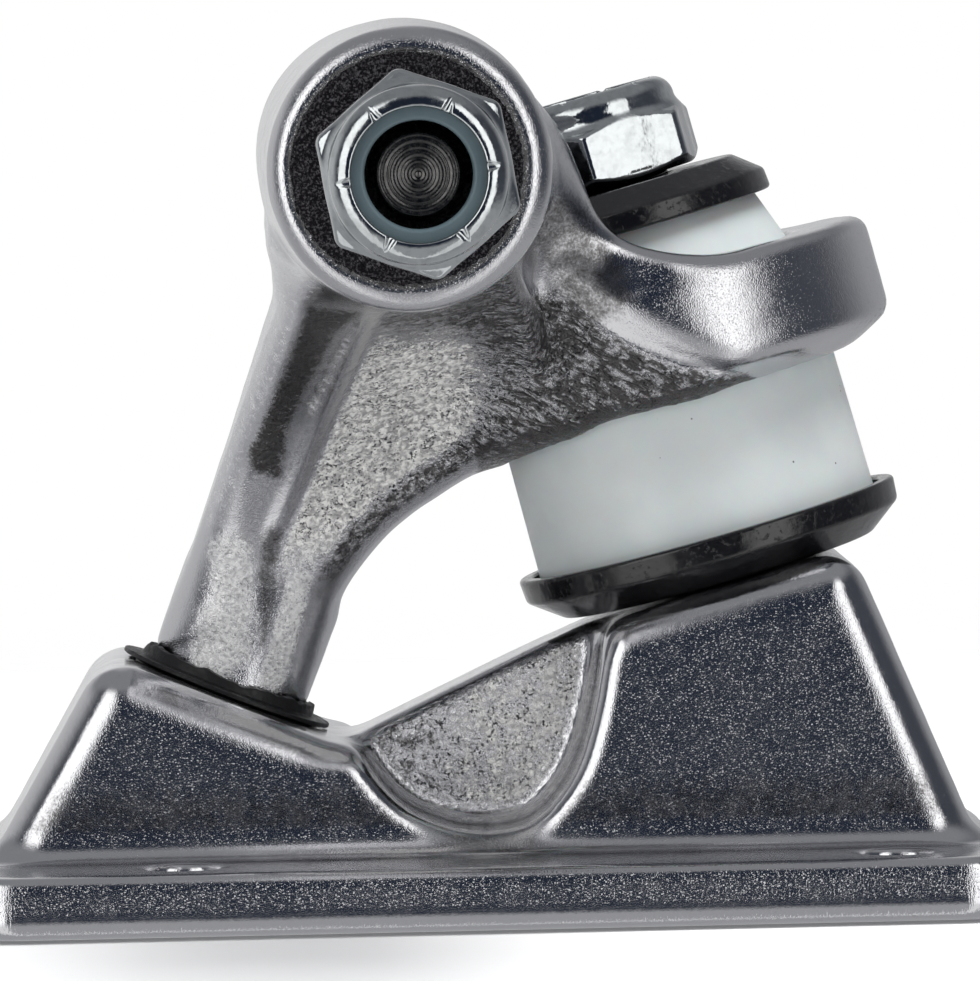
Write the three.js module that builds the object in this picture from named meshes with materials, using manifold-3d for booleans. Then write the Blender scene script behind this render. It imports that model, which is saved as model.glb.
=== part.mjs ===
// A skateboard truck: baseplate, kingpin with its bushings and cup washers, hanger,
// axle, speed rings and lock nuts. Millimetres. X runs along the board, Y along the
// axle and Z up. The origin is the middle of the baseplate's underside.

import * as THREE from 'three';
import { mergeVertices } from 'three/addons/utils/BufferGeometryUtils.js';
import Module from 'manifold-3d';

const wasm = await Module();
wasm.setup();

// Driving dimensions, shared
const GAP = 0.3; // clearance between pieces that touch
const OVERRUN = 6; // how far a cut runs past the face that it opens
const LEAN_RANGE = THREE.MathUtils.degToRad(15); // how far the hanger tips each way
const LARGE_ROUND = 40; // sides of a large turned piece
const SMALL_ROUND = 24; // sides of a small turned piece
const ARC_STEPS = 3; // steps in a rounded edge

// Driving dimensions, where the three axes lie
const KINGPIN_SEAT = { x: 18.93, z: 24.94 }; // middle of the lower washer's seat
const KINGPIN_LEAN = THREE.MathUtils.degToRad(14.8);
const PIVOT_SEAT = { x: -19.6, z: 16.75 }; // middle of the pivot cup's seat
const PIVOT_LEAN = THREE.MathUtils.degToRad(22.2);
const AXLE = { x: -5.54, z: 57.7 };

// Baseplate
const SLAB_LENGTH = 79.4;
const SLAB_WIDTH = 56;
const SLAB_HEIGHT = 4.8;
const SLAB_CORNER = 4.25;
const SLAB_EDGE = 0.8;
const HOLE_SPACING_X = 53.98;
const HOLE_SPACING_Y = 41.28;
const HOLE_MIDDLE_X = 4.05;
const HOLE_RADIUS = 2.75;
const TOWER_WIDTH = 30.4;
const TOWER_EDGE = 1.4;
const TOWER_FOOT = 37.9; // from the middle to the foot of each end wall
const FOOT_FILLET = 2.4;
const PIVOT_TOWER_REACH = 9.9; // each side of the pivot axis, along the sloping top
const KINGPIN_TOWER_INNER = 8.7;
const KINGPIN_TOWER_OUTER = 9.9;
const SADDLE = { x: -0.5, z: 15.6, radius: 9.1 };
const SADDLE_SIDE = 9.9; // from the saddle's middle to each tower's wall, at the top
const SADDLE_SWEEP_SHARE = 0.88; // of a half turn, the round part of the hollow's floor
const WEB_THICKNESS = 10;
const SADDLE_BOWL = 2.6; // rounding where the hollow's wall meets the web

// Kingpin, its nut and the insert that locks it
const KINGPIN_RADIUS = 4.76;
const KINGPIN_CHAMFER = 0.7;
const KINGPIN_HEAD_FLATS = 14.29;
const KINGPIN_HEAD_HEIGHT = 6;
const KINGPIN_HEAD_DEPTH = 14; // from the washer's seat down to the head's shoulder
const KINGPIN_NUT_FLATS = 14.29;
const KINGPIN_NUT_HEX = 5.4;
const KINGPIN_NUT_HEIGHT = 7.6;
const KINGPIN_NUT_COLLAR = 6.5;
const KINGPIN_NUT_TURN = THREE.MathUtils.degToRad(-8.8);
const KINGPIN_INSERT_RADIUS = 5.7;
const KINGPIN_INSERT_HEIGHT = 1.3;
const KINGPIN_SHORTFALL = 0.4; // from the nut's top down to the kingpin's end

// Washers and bushings, stacked up the kingpin. A cup washer's room is between it and its bushing,
// and its flare is how far its bevel runs out from its flat floor.
const LOWER_WASHER = { room: 0.35, wall: 1.2, flare: 4.6, bevel: 2.6, thickness: 1.5, height: 3.9 };
const UPPER_WASHER = { room: 0.85, wall: 0.95, flare: 2.6, bevel: 1.5, thickness: 1.5, height: 3.2 };
const LOWER_BUSHING = { footRadius: 13.45, topRadius: 13.28, height: 12.9, edge: 0.8 };
const UPPER_BUSHING = { footRadius: 12.2, topRadius: 10.2, skirt: 3.4, height: 9, edge: 0.6 };

// Hanger
const RING_RADIUS = 18.4;
const RING_FOOT_EDGE = 2.8;
const RING_TOP_EDGE = 1.4;
const RING_WEB = 4.7; // thickness between the two bushings
const RING_FOOT_DEPTH = 1.6; // how deep the lower bushing sits in the ring
const RING_TOP_DEPTH = 3.6; // how deep the upper bushing sits in the ring
const RING_HOLE = 8;
const AXLE_STUB = 30.4; // how far the axle stands out of each end of the hanger
const BEAM_RADIUS = 10.7;
const BEAM_END_RADIUS = 10;
const BEAM_STRAIGHT = 42; // from the middle to where the beam starts to taper
const END_FACE_RADIUS = 8.9;
const NOSE_RADIUS = 6;
const NOSE_DEPTH = 10.3; // from the pivot cup's seat down to the nose's tip
const NOSE_TIP_RADIUS = 4.7;
const NOSE_ROOT = 13; // how far up the nose runs into the hanger
const GUSSET_REACH = 46; // from the middle to where a gusset meets the beam
const ARM_RISE = 10; // height of the arms above the ring, at the beam
const ARM_SIDE = 18.1;
const ARM_EDGE = 1.4;
const CHEEK_STEP = 2.4; // how far a cheek is set in from its arm
const POCKET_CLEARANCE = 1; // round the upper washer and nut when the hanger leans
const WASHER_DROP = 1.1; // how far a turn of the nut brings the upper washer down

// Pivot cup
const CUP_RADIUS = 7.3;
const CUP_FLANGE_RADIUS = 8.5;
const CUP_FLANGE_HEIGHT = 1;
const CUP_FLOOR = 1;

// Axle, its nuts and the speed rings
const AXLE_RADIUS = 3.97;
const AXLE_LENGTH = 196.8;
const AXLE_CHAMFER = 1;
const AXLE_NUT_FLATS = 12.7;
const AXLE_NUT_HEX = 6;
const AXLE_NUT_HEIGHT = 8.6;
const AXLE_NUT_COLLAR = 5.9;
const AXLE_NUT_TURNS = { right: THREE.MathUtils.degToRad(10.2), left: THREE.MathUtils.degToRad(17) };
const AXLE_INSERT_RADIUS = 5;
const AXLE_INSERT_HEIGHT = 1.7;
const NUT_LIP = 0.5; // thickness of the rim that is turned in over an insert
const NUT_CHAMFER = 0.7;
const SPEED_RING_RADIUS = 6;
const SPEED_RING_HEIGHT = 1;

// Heights up the kingpin from the lower washer's seat, out along the axle, and up from the cup's
// seat, and the washers' radii
const lowerFloor = GAP + LOWER_WASHER.thickness;
const lowerBushingTop = lowerFloor + GAP + LOWER_BUSHING.height;
const ringWebFoot = lowerBushingTop + GAP;
const ringFoot = ringWebFoot - RING_FOOT_DEPTH;
const ringWebTop = ringWebFoot + RING_WEB;
const ringTop = ringWebTop + RING_TOP_DEPTH;
const upperBushingFoot = ringWebTop + GAP;
const upperBushingTop = upperBushingFoot + UPPER_BUSHING.height;
const upperFloor = upperBushingTop + GAP;
const upperWasherTop = upperFloor + UPPER_WASHER.thickness;
const kingpinNutFoot = upperWasherTop + GAP;
const kingpinInsertTop = kingpinNutFoot + KINGPIN_NUT_HEIGHT - NUT_LIP - GAP;
const kingpinEnd = kingpinNutFoot + KINGPIN_NUT_HEIGHT - KINGPIN_SHORTFALL;
const axleEnd = AXLE_LENGTH / 2;
const hangerFace = axleEnd - AXLE_STUB;
const insertFoot = axleEnd + GAP;
const axleNutFoot = insertFoot + AXLE_INSERT_HEIGHT + NUT_LIP - AXLE_NUT_HEIGHT;
const cupFoot = -NOSE_DEPTH - GAP - CUP_FLOOR;
const lowerWasherRadius = LOWER_BUSHING.footRadius + LOWER_WASHER.room + LOWER_WASHER.wall;
const upperWasherRadius = UPPER_BUSHING.topRadius + UPPER_WASHER.room + UPPER_WASHER.wall;

// Three turned frames: a local Y axis up the kingpin, up out of the pivot cup, or out along the axle
function leaningFrame(seat, lean) {
  const across = new THREE.Vector3(Math.cos(lean), 0, Math.sin(lean));
  const up = new THREE.Vector3(-Math.sin(lean), 0, Math.cos(lean));
  const frame = new THREE.Matrix4().makeBasis(across, up, new THREE.Vector3(0, -1, 0));
  return frame.setPosition(seat.x, 0, seat.z);
}

function axleFrame(side) {
  const across = new THREE.Vector3(side, 0, 0);
  const outward = new THREE.Vector3(0, side, 0);
  const frame = new THREE.Matrix4().makeBasis(across, outward, new THREE.Vector3(0, 0, 1));
  return frame.setPosition(AXLE.x, 0, AXLE.z);
}

const kingpinFrame = leaningFrame(KINGPIN_SEAT, KINGPIN_LEAN);
const pivotFrame = leaningFrame(PIVOT_SEAT, -PIVOT_LEAN);

// A place in the XZ plane, given across and up in a leaning frame
function inFrame(frame, across, up) {
  const place = new THREE.Vector3(across, up, 0).applyMatrix4(frame);
  return [place.x, place.z];
}

const onKingpin = (across, up) => inFrame(kingpinFrame, across, up);
const onPivot = (across, up) => inFrame(pivotFrame, across, up);

// A place between the pivot seat and the axle: shares of that distance along it and to its left
function onSpine(alongShare, leftShare) {
  const run = AXLE.x - PIVOT_SEAT.x;
  const rise = AXLE.z - PIVOT_SEAT.z;
  return [
    PIVOT_SEAT.x + run * alongShare - rise * leftShare,
    PIVOT_SEAT.z + rise * alongShare + run * leftShare,
  ];
}

// A closed solid for booleans, from a three.js geometry
function solidOf(geometry, frame) {
  let merged = geometry.index ? geometry.clone() : mergeVertices(geometry.clone());
  merged.deleteAttribute('normal');
  merged.deleteAttribute('uv');
  if (frame) merged.applyMatrix4(frame);
  merged = mergeVertices(merged, GAP / 1000);
  const places = merged.attributes.position.array;
  const corners = merged.index.array;
  const kept = [];
  let volume = 0;
  const [a, b, c] = [new THREE.Vector3(), new THREE.Vector3(), new THREE.Vector3()];
  for (let i = 0; i < corners.length; i += 3) {
    const [p, q, r] = corners.slice(i, i + 3);
    if (p === q || q === r || r === p) continue;
    kept.push(p, q, r);
    a.fromArray(places, 3 * p);
    b.fromArray(places, 3 * q);
    c.fromArray(places, 3 * r);
    volume += a.dot(b.cross(c));
  }
  if (volume < 0) kept.reverse();
  const mesh = new wasm.Mesh({
    numProp: 3,
    vertProperties: new Float32Array(places),
    triVerts: new Uint32Array(kept),
  });
  mesh.merge();
  return new wasm.Manifold(mesh);
}

function geometryOf(solid) {
  const { vertProperties, triVerts } = solid.getMesh();
  const geometry = new THREE.BufferGeometry();
  geometry.setAttribute('position', new THREE.BufferAttribute(new Float32Array(vertProperties), 3));
  geometry.setIndex(new THREE.BufferAttribute(new Uint32Array(triVerts), 1));
  geometry.computeVertexNormals();
  return geometry;
}

const joined = (solids) => solids.reduce((sum, next) => sum.add(next));
const without = (body, cuts) => cuts.reduce((rest, cut) => rest.subtract(cut), body);

// A solid turned about a frame's Y axis, from [radius, height] pairs
function turned(profile, frame, sides = LARGE_ROUND) {
  const points = profile.map(([radius, height]) => new THREE.Vector2(radius, height));
  const closes = profile[0][0] > 0;
  if (closes) points.push(points[0].clone());
  return solidOf(new THREE.LatheGeometry(points, sides), frame);
}

const bar = (radius, low, high, frame, sides) =>
  turned([[0, low], [radius, low], [radius, high], [0, high]], frame, sides);

const tube = (inner, outer, low, high) => [[inner, low], [outer, low], [outer, high], [inner, high]];

// A quarter of a circle that rounds an edge, from the direction given, as [radius, height] pairs
function roundedEdge(radius, height, edge, from) {
  const quarter = Math.PI / 2;
  return Array.from({ length: ARC_STEPS + 1 }, (_, i) => {
    const angle = from + (quarter * i) / ARC_STEPS;
    return [radius + edge * Math.cos(angle), height + edge * Math.sin(angle)];
  });
}

// A hexagonal bar with its corners turned down at the ends that are asked for
function hexBar(flats, low, high, frame, turn, chamferTop, chamferFoot) {
  const radius = flats / Math.sqrt(3);
  const prism = new THREE.CylinderGeometry(radius, radius, high - low, 6, 1, false, turn);
  prism.translate(0, (low + high) / 2, 0);
  const inscribed = flats / 2;
  const top = chamferTop ? [[radius, high - NUT_CHAMFER], [inscribed, high]] : [[radius, high]];
  const foot = chamferFoot ? [[inscribed, low], [radius, low + NUT_CHAMFER]] : [[radius, low]];
  const envelope = turned([[0, low], ...foot, ...top, [0, high]], frame, SMALL_ROUND);
  return solidOf(prism, frame).intersect(envelope);
}

// An outline in the XZ plane, as long in Y as the width asked for, with its rim bevelled
function plateAcross(outline, width, edge = 0) {
  const shape = new THREE.Shape(outline.map(([x, z]) => new THREE.Vector2(x, z)));
  const geometry = new THREE.ExtrudeGeometry(shape, {
    depth: width - 2 * edge,
    bevelEnabled: edge > 0,
    bevelThickness: edge,
    bevelSize: edge,
    bevelOffset: -edge,
    bevelSegments: ARC_STEPS,
  });
  geometry.translate(0, 0, edge - width / 2);
  geometry.rotateX(Math.PI / 2);
  return solidOf(geometry);
}

function named(name, solid, material) {
  const mesh = new THREE.Mesh(geometryOf(solid), new THREE.MeshStandardMaterial(material));
  mesh.name = name;
  return mesh;
}

// Materials
const castAluminium = { color: 0x9c9ca1, roughness: 0.35, metalness: 1 };
const zincPlate = { color: 0xc3c9c6, roughness: 0.2, metalness: 1 };
const blackSteel = { color: 0x17171a, roughness: 0.4, metalness: 0.6 };
const darkSteel = { color: 0x35332f, roughness: 0.45, metalness: 1 };
const paleUrethane = { color: 0xd5dedd, roughness: 0.4, metalness: 0 };
const blackUrethane = { color: 0x101011, roughness: 0.55, metalness: 0 };
const nylon = { color: 0x5b6f79, roughness: 0.5, metalness: 0 };

// Baseplate: a rounded slab with two sloping towers joined by a web
function slab() {
  const [x, y] = [SLAB_LENGTH / 2 - SLAB_CORNER, SLAB_WIDTH / 2 - SLAB_CORNER];
  const quarter = Math.PI / 2;
  const shape = new THREE.Shape();
  shape.absarc(x, y, SLAB_CORNER, 0, quarter);
  shape.absarc(-x, y, SLAB_CORNER, quarter, 2 * quarter);
  shape.absarc(-x, -y, SLAB_CORNER, 2 * quarter, 3 * quarter);
  shape.absarc(x, -y, SLAB_CORNER, 3 * quarter, 4 * quarter);
  const geometry = new THREE.ExtrudeGeometry(shape, {
    depth: SLAB_HEIGHT - 2 * SLAB_EDGE,
    bevelThickness: SLAB_EDGE,
    bevelSize: SLAB_EDGE,
    bevelOffset: -SLAB_EDGE,
    bevelSegments: 2,
    curveSegments: 6,
  });
  geometry.translate(0, 0, SLAB_EDGE);
  return solidOf(geometry);
}

function towerOutline() {
  const foot = SLAB_HEIGHT / 2;
  const cornerShare = 0.14;
  return [
    [-TOWER_FOOT, foot],
    [-TOWER_FOOT, SLAB_HEIGHT],
    onPivot(-PIVOT_TOWER_REACH * (1 + cornerShare / 2), -PIVOT_TOWER_REACH * cornerShare),
    onPivot(-PIVOT_TOWER_REACH * (1 - cornerShare / 2), -GAP),
    onPivot(PIVOT_TOWER_REACH, -GAP),
    onKingpin(-KINGPIN_TOWER_INNER, -GAP),
    onKingpin(KINGPIN_TOWER_OUTER * (1 - cornerShare), -GAP),
    onKingpin(KINGPIN_TOWER_OUTER, -KINGPIN_TOWER_OUTER * cornerShare),
    [TOWER_FOOT, SLAB_HEIGHT],
    [TOWER_FOOT, foot],
  ];
}

// The flare round the towers' foot, where they run out into the slab
function footFlare(outlineWidth) {
  const steps = Array.from({ length: ARC_STEPS + 1 }, (_, i) => (Math.PI / 2) * (i / ARC_STEPS));
  const curve = steps.map((angle) => [
    outlineWidth / 2 + FOOT_FILLET * (1 - Math.sin(angle)),
    SLAB_HEIGHT + FOOT_FILLET * (1 - Math.cos(angle)),
  ]);
  const right = [...curve, [0, SLAB_HEIGHT + FOOT_FILLET], [0, SLAB_HEIGHT / 2]];
  right.push([outlineWidth / 2 + FOOT_FILLET, SLAB_HEIGHT / 2]);
  return right;
}

function flareSolid() {
  const half = footFlare(TOWER_WIDTH - GAP);
  const shape = new THREE.Shape(half.map(([y, z]) => new THREE.Vector2(y, z)));
  const length = 2 * (TOWER_FOOT - FOOT_FILLET);
  const alongX = new THREE.Matrix4().makeBasis(
    new THREE.Vector3(0, 1, 0), new THREE.Vector3(0, 0, 1), new THREE.Vector3(1, 0, 0));
  return [1, -1].map((side) => {
    const geometry = new THREE.ExtrudeGeometry(shape, { depth: length, bevelEnabled: false });
    geometry.translate(0, 0, -length / 2);
    geometry.applyMatrix4(alongX);
    geometry.scale(1, side, 1);
    return solidOf(geometry);
  });
}

// The hollow in each side of the web: a round floor with walls that rise to the two towers
function saddleCut(side) {
  const depth = (TOWER_WIDTH - WEB_THICKNESS) / 2 + OVERRUN;
  const top = KINGPIN_SEAT.z + OVERRUN;
  const sweep = Math.PI * SADDLE_SWEEP_SHARE;
  const steps = 3 * ARC_STEPS;
  const floor = Array.from({ length: steps + 1 }, (_, i) => {
    const angle = -Math.PI / 2 + sweep * (i / steps - 1 / 2);
    return [SADDLE.x + SADDLE.radius * Math.cos(angle), SADDLE.z + SADDLE.radius * Math.sin(angle)];
  });
  const outline = [[SADDLE.x - SADDLE_SIDE, top], ...floor, [SADDLE.x + SADDLE_SIDE, top]];
  const shape = new THREE.Shape(outline.map(([x, z]) => new THREE.Vector2(x, z)));
  const geometry = new THREE.ExtrudeGeometry(shape, {
    depth: depth - SADDLE_BOWL,
    bevelThickness: SADDLE_BOWL,
    bevelSize: SADDLE_BOWL,
    bevelOffset: -SADDLE_BOWL,
    bevelSegments: ARC_STEPS,
  });
  geometry.translate(0, 0, SADDLE_BOWL + WEB_THICKNESS / 2);
  geometry.rotateX(Math.PI / 2);
  geometry.scale(1, -side, 1);
  return solidOf(geometry);
}

function baseplate() {
  const body = joined([slab(), plateAcross(towerOutline(), TOWER_WIDTH, TOWER_EDGE), ...flareSolid()]);
  const holes = [];
  const holeLength = SLAB_HEIGHT + 2 * OVERRUN;
  for (const x of [-1, 1]) {
    for (const y of [-1, 1]) {
      const hole = new THREE.CylinderGeometry(HOLE_RADIUS, HOLE_RADIUS, holeLength, SMALL_ROUND);
      hole.rotateX(Math.PI / 2);
      const middle = [HOLE_MIDDLE_X + (x * HOLE_SPACING_X) / 2, (y * HOLE_SPACING_Y) / 2];
      hole.translate(...middle, SLAB_HEIGHT / 2);
      holes.push(solidOf(hole));
    }
  }
  const bolt = bar(KINGPIN_RADIUS + GAP, -KINGPIN_HEAD_DEPTH - OVERRUN, OVERRUN, kingpinFrame, SMALL_ROUND);
  const underside = -KINGPIN_SEAT.z / Math.cos(KINGPIN_LEAN) - OVERRUN;
  const socket = hexBar(KINGPIN_HEAD_FLATS + 2 * GAP, underside, -KINGPIN_HEAD_DEPTH, kingpinFrame, 0);
  const cup = bar(CUP_RADIUS + GAP, cupFoot - GAP, OVERRUN, pivotFrame);
  return without(body, [saddleCut(1), saddleCut(-1), ...holes, bolt, socket, cup]);
}

// The nose's outline below the hanger, grown by a clearance
function noseProfile(clearance, top) {
  const ball = NOSE_TIP_RADIUS + clearance;
  const centre = NOSE_TIP_RADIUS - NOSE_DEPTH;
  const steps = ARC_STEPS + 1;
  const tip = Array.from({ length: steps + 1 }, (_, i) => {
    const angle = (Math.PI / 2) * (i / steps);
    return [ball * Math.sin(angle), centre - ball * Math.cos(angle)];
  });
  tip[0][0] = 0;
  return [...tip, [NOSE_RADIUS + clearance, 0], [NOSE_RADIUS + clearance, top], [0, top]];
}

// Pivot cup: a flanged urethane cup that the hanger's nose sits in
function pivotCup() {
  const lip = CUP_FLANGE_HEIGHT / 4;
  const body = turned([
    [0, cupFoot],
    [CUP_RADIUS - CUP_FLOOR, cupFoot],
    [CUP_RADIUS, cupFoot + CUP_FLOOR],
    [CUP_RADIUS, 0],
    [CUP_FLANGE_RADIUS, 0],
    [CUP_FLANGE_RADIUS, CUP_FLANGE_HEIGHT - lip],
    [CUP_FLANGE_RADIUS - lip, CUP_FLANGE_HEIGHT],
    [0, CUP_FLANGE_HEIGHT],
  ], pivotFrame);
  return body.subtract(turned(noseProfile(GAP, OVERRUN), pivotFrame, SMALL_ROUND));
}

// Kingpin: a bolt whose head is held in the baseplate's socket
function kingpin() {
  const shoulder = -KINGPIN_HEAD_DEPTH - GAP;
  const shank = turned([
    [0, shoulder - KINGPIN_HEAD_HEIGHT / 2],
    [KINGPIN_RADIUS, shoulder - KINGPIN_HEAD_HEIGHT / 2],
    [KINGPIN_RADIUS, kingpinEnd - KINGPIN_CHAMFER],
    [KINGPIN_RADIUS - KINGPIN_CHAMFER, kingpinEnd],
    [0, kingpinEnd],
  ], kingpinFrame, SMALL_ROUND);
  const foot = shoulder - KINGPIN_HEAD_HEIGHT;
  const head = hexBar(KINGPIN_HEAD_FLATS, foot, shoulder, kingpinFrame, 0, false, true);
  return shank.add(head);
}

// A cup washer: a flat floor with a bevel out to an upturned wall, given from its floor's face
function cupWasher({ wall, flare, bevel, thickness, height }, radius, face, up) {
  const bore = KINGPIN_RADIUS + GAP;
  const profile = [
    [bore, face],
    [radius - flare, face],
    [radius, face + up * bevel],
    [radius, face + up * (height - wall / 4)],
    [radius - wall / 4, face + up * height],
    [radius - wall, face + up * height],
    [radius - wall, face + up * thickness],
    [bore, face + up * thickness],
  ];
  return turned(profile, kingpinFrame);
}

function lowerBushing() {
  const foot = lowerFloor + GAP;
  const { footRadius, topRadius, edge } = LOWER_BUSHING;
  const bore = KINGPIN_RADIUS + GAP;
  return turned([
    [bore, foot],
    [footRadius - edge, foot],
    [footRadius, foot + edge],
    [topRadius, lowerBushingTop - edge / 2],
    [topRadius - edge / 2, lowerBushingTop],
    [bore, lowerBushingTop],
  ], kingpinFrame);
}

function upperBushing() {
  const { footRadius, topRadius, skirt, edge } = UPPER_BUSHING;
  const bore = KINGPIN_RADIUS + GAP;
  return turned([
    [bore, upperBushingFoot],
    [footRadius - edge, upperBushingFoot],
    [footRadius, upperBushingFoot + edge],
    [footRadius, upperBushingFoot + skirt],
    [topRadius, upperBushingTop - edge / 2],
    [topRadius - edge / 2, upperBushingTop],
    [bore, upperBushingTop],
  ], kingpinFrame);
}

// A lock nut: a hexagon with a round collar, whose rim is turned in over a nylon insert
function lockNut({ flats, hex, height, collar, bore, seat, seatFoot, lipRadius }, foot, frame, turn) {
  const top = foot + height;
  const edge = NUT_LIP * 2;
  const crown = turned([
    [0, foot + hex / 2],
    [collar, foot + hex / 2],
    ...roundedEdge(collar - edge, top - edge, edge, 0),
    [0, top],
  ], frame, SMALL_ROUND);
  const body = hexBar(flats, foot, foot + hex, frame, turn, true, true).add(crown);
  return without(body, [
    bar(bore, foot - OVERRUN, top + OVERRUN, frame, SMALL_ROUND),
    bar(seat, seatFoot, top - NUT_LIP, frame, SMALL_ROUND),
    bar(lipRadius, seatFoot, top + OVERRUN, frame, SMALL_ROUND),
  ]);
}

function kingpinNut() {
  const seat = KINGPIN_INSERT_RADIUS + GAP;
  return lockNut({
    flats: KINGPIN_NUT_FLATS,
    hex: KINGPIN_NUT_HEX,
    height: KINGPIN_NUT_HEIGHT,
    collar: KINGPIN_NUT_COLLAR,
    bore: KINGPIN_RADIUS + GAP,
    seat,
    seatFoot: kingpinInsertTop - KINGPIN_INSERT_HEIGHT - GAP,
    lipRadius: seat - NUT_LIP,
  }, kingpinNutFoot, kingpinFrame, KINGPIN_NUT_TURN);
}

function kingpinInsert() {
  const foot = kingpinInsertTop - KINGPIN_INSERT_HEIGHT;
  const ring = tube(KINGPIN_RADIUS + GAP, KINGPIN_INSERT_RADIUS, foot, kingpinInsertTop);
  return turned(ring, kingpinFrame, SMALL_ROUND);
}

// Hanger: a beam round the axle, a leg down to the nose, gussets, arms and the bushing ring
function beam() {
  const rim = BEAM_END_RADIUS - END_FACE_RADIUS;
  const half = [
    [BEAM_RADIUS, BEAM_STRAIGHT],
    [BEAM_END_RADIUS, hangerFace - rim],
    [END_FACE_RADIUS + rim / 2, hangerFace - rim / 4],
    [END_FACE_RADIUS, hangerFace],
  ];
  const mirrored = half.map(([radius, along]) => [radius, -along]).reverse();
  return turned([[0, -hangerFace], ...mirrored, ...half, [0, hangerFace]], axleFrame(1));
}

function bushingRing() {
  const down = -Math.PI / 2;
  return turned([
    [0, ringFoot],
    ...roundedEdge(RING_RADIUS - RING_FOOT_EDGE, ringFoot + RING_FOOT_EDGE, RING_FOOT_EDGE, down),
    ...roundedEdge(RING_RADIUS - RING_TOP_EDGE, ringTop - RING_TOP_EDGE, RING_TOP_EDGE, 0),
    [0, ringTop],
  ], kingpinFrame);
}

// The leg and gussets are where the side outline and the front outline agree
function gussetSide() {
  const legShares = [[0.048, 0.139], [0.35, 0.132], [0.69, 0.128], [0.8, 0.17]];
  const archShares = [[0.52, -0.31], [0.385, -0.207], [0.276, -0.16], [0.177, -0.143], [0.024, -0.139]];
  const behindRing = RING_RADIUS * 0.45;
  return [
    ...legShares.map(([along, left]) => onSpine(along, left)),
    [AXLE.x - BEAM_RADIUS / 2, AXLE.z],
    [AXLE.x + BEAM_RADIUS / 2, AXLE.z],
    onKingpin(-behindRing, ringTop),
    onKingpin(-behindRing, ringFoot),
    onKingpin(-LOWER_BUSHING.topRadius, ringFoot),
    ...archShares.map(([along, left]) => onSpine(along, left)),
  ];
}

function gussetFront() {
  const spreadShares = [
    [0, -0.2], [0, 0.08], [0.02, 0.226], [0.065, 0.348], [0.145, 0.458], [0.26, 0.556],
    [0.45, 0.653], [0.7, 0.751], [0.95, 0.849], [1, 1], [1, 1.3],
  ];
  const rise = AXLE.z - PIVOT_SEAT.z;
  const half = spreadShares.map(([outShare, upShare]) => [
    NOSE_RADIUS + (GUSSET_REACH - NOSE_RADIUS) * outShare,
    PIVOT_SEAT.z + rise * upShare,
  ]);
  return [...half, ...half.map(([y, z]) => [-y, z]).reverse()];
}

function gusset() {
  const front = new THREE.Shape(gussetFront().map(([y, z]) => new THREE.Vector2(y, z)));
  const geometry = new THREE.ExtrudeGeometry(front, { depth: SLAB_LENGTH, bevelEnabled: false });
  geometry.translate(0, 0, -SLAB_LENGTH / 2);
  geometry.applyMatrix4(new THREE.Matrix4().makeBasis(
    new THREE.Vector3(0, 1, 0), new THREE.Vector3(0, 0, 1), new THREE.Vector3(1, 0, 0)));
  return plateAcross(gussetSide(), 2 * GUSSET_REACH).intersect(solidOf(geometry));
}

// The arms sweep up from the ring's sides to the beam, with a cheek set in beneath each
function arms() {
  const topShares = [[0.22, 0], [0.12, 0.14], [0.03, 0.31], [-0.13, 0.61], [-0.26, 1]];
  const footShares = [[-0.34, 0.4], [-0.24, 0], [-0.09, -0.42], [0.22, -0.74]];
  const cheekShares = [[-0.27, 0.6], [-0.12, 0.1], [0.1, -0.3]];
  const place = ([acrossShare, upShare]) =>
    onKingpin(RING_RADIUS * acrossShare, ringTop + ARM_RISE * upShare);
  const inBeam = AXLE.x + BEAM_RADIUS / 2;
  const outline = [
    ...topShares.map(place),
    [inBeam, AXLE.z + BEAM_RADIUS / 4],
    [inBeam, AXLE.z - BEAM_RADIUS / 2],
    ...footShares.map(place),
  ];
  const cheek = [
    [inBeam, AXLE.z - BEAM_RADIUS / 4],
    ...cheekShares.map(place),
    onKingpin(0, ringFoot),
    onKingpin(-LOWER_BUSHING.footRadius, ringFoot),
    [AXLE.x, AXLE.z - BEAM_RADIUS],
  ];
  return [
    plateAcross(outline, 2 * ARM_SIDE, ARM_EDGE),
    plateAcross(cheek, 2 * (ARM_SIDE - CHEEK_STEP), ARM_EDGE),
  ];
}

// The hanger's own path: it turns about the line from the nose's ball to the ring's middle
function leanedFrame(angle) {
  const ball = new THREE.Vector3(0, NOSE_TIP_RADIUS - NOSE_DEPTH, 0).applyMatrix4(pivotFrame);
  const middle = new THREE.Vector3(0, (ringWebFoot + ringWebTop) / 2, 0).applyMatrix4(kingpinFrame);
  const axis = middle.sub(ball).normalize();
  return new THREE.Matrix4()
    .makeTranslation(ball.x, ball.y, ball.z)
    .multiply(new THREE.Matrix4().makeRotationAxis(axis, angle))
    .multiply(new THREE.Matrix4().makeTranslation(-ball.x, -ball.y, -ball.z))
    .multiply(kingpinFrame);
}

// Room in the hanger for the upper washer and nut through the whole lean
function leanPocket() {
  const washerFoot = upperWasherTop - UPPER_WASHER.height - WASHER_DROP - POCKET_CLEARANCE;
  const washerRadius = upperWasherRadius + POCKET_CLEARANCE;
  const nutRadius = KINGPIN_NUT_FLATS / Math.sqrt(3) + POCKET_CLEARANCE;
  const washerHead = upperWasherTop + POCKET_CLEARANCE;
  const nutHead = kingpinEnd + 2 * OVERRUN;
  return joined([-1, 0, 1].map((share) => turned([
    [0, washerFoot],
    [washerRadius, washerFoot],
    [washerRadius, washerHead],
    [nutRadius, washerHead + (washerRadius - nutRadius)],
    [nutRadius, nutHead],
    [0, nutHead],
  ], leanedFrame(LEAN_RANGE * share), SMALL_ROUND)));
}

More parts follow.
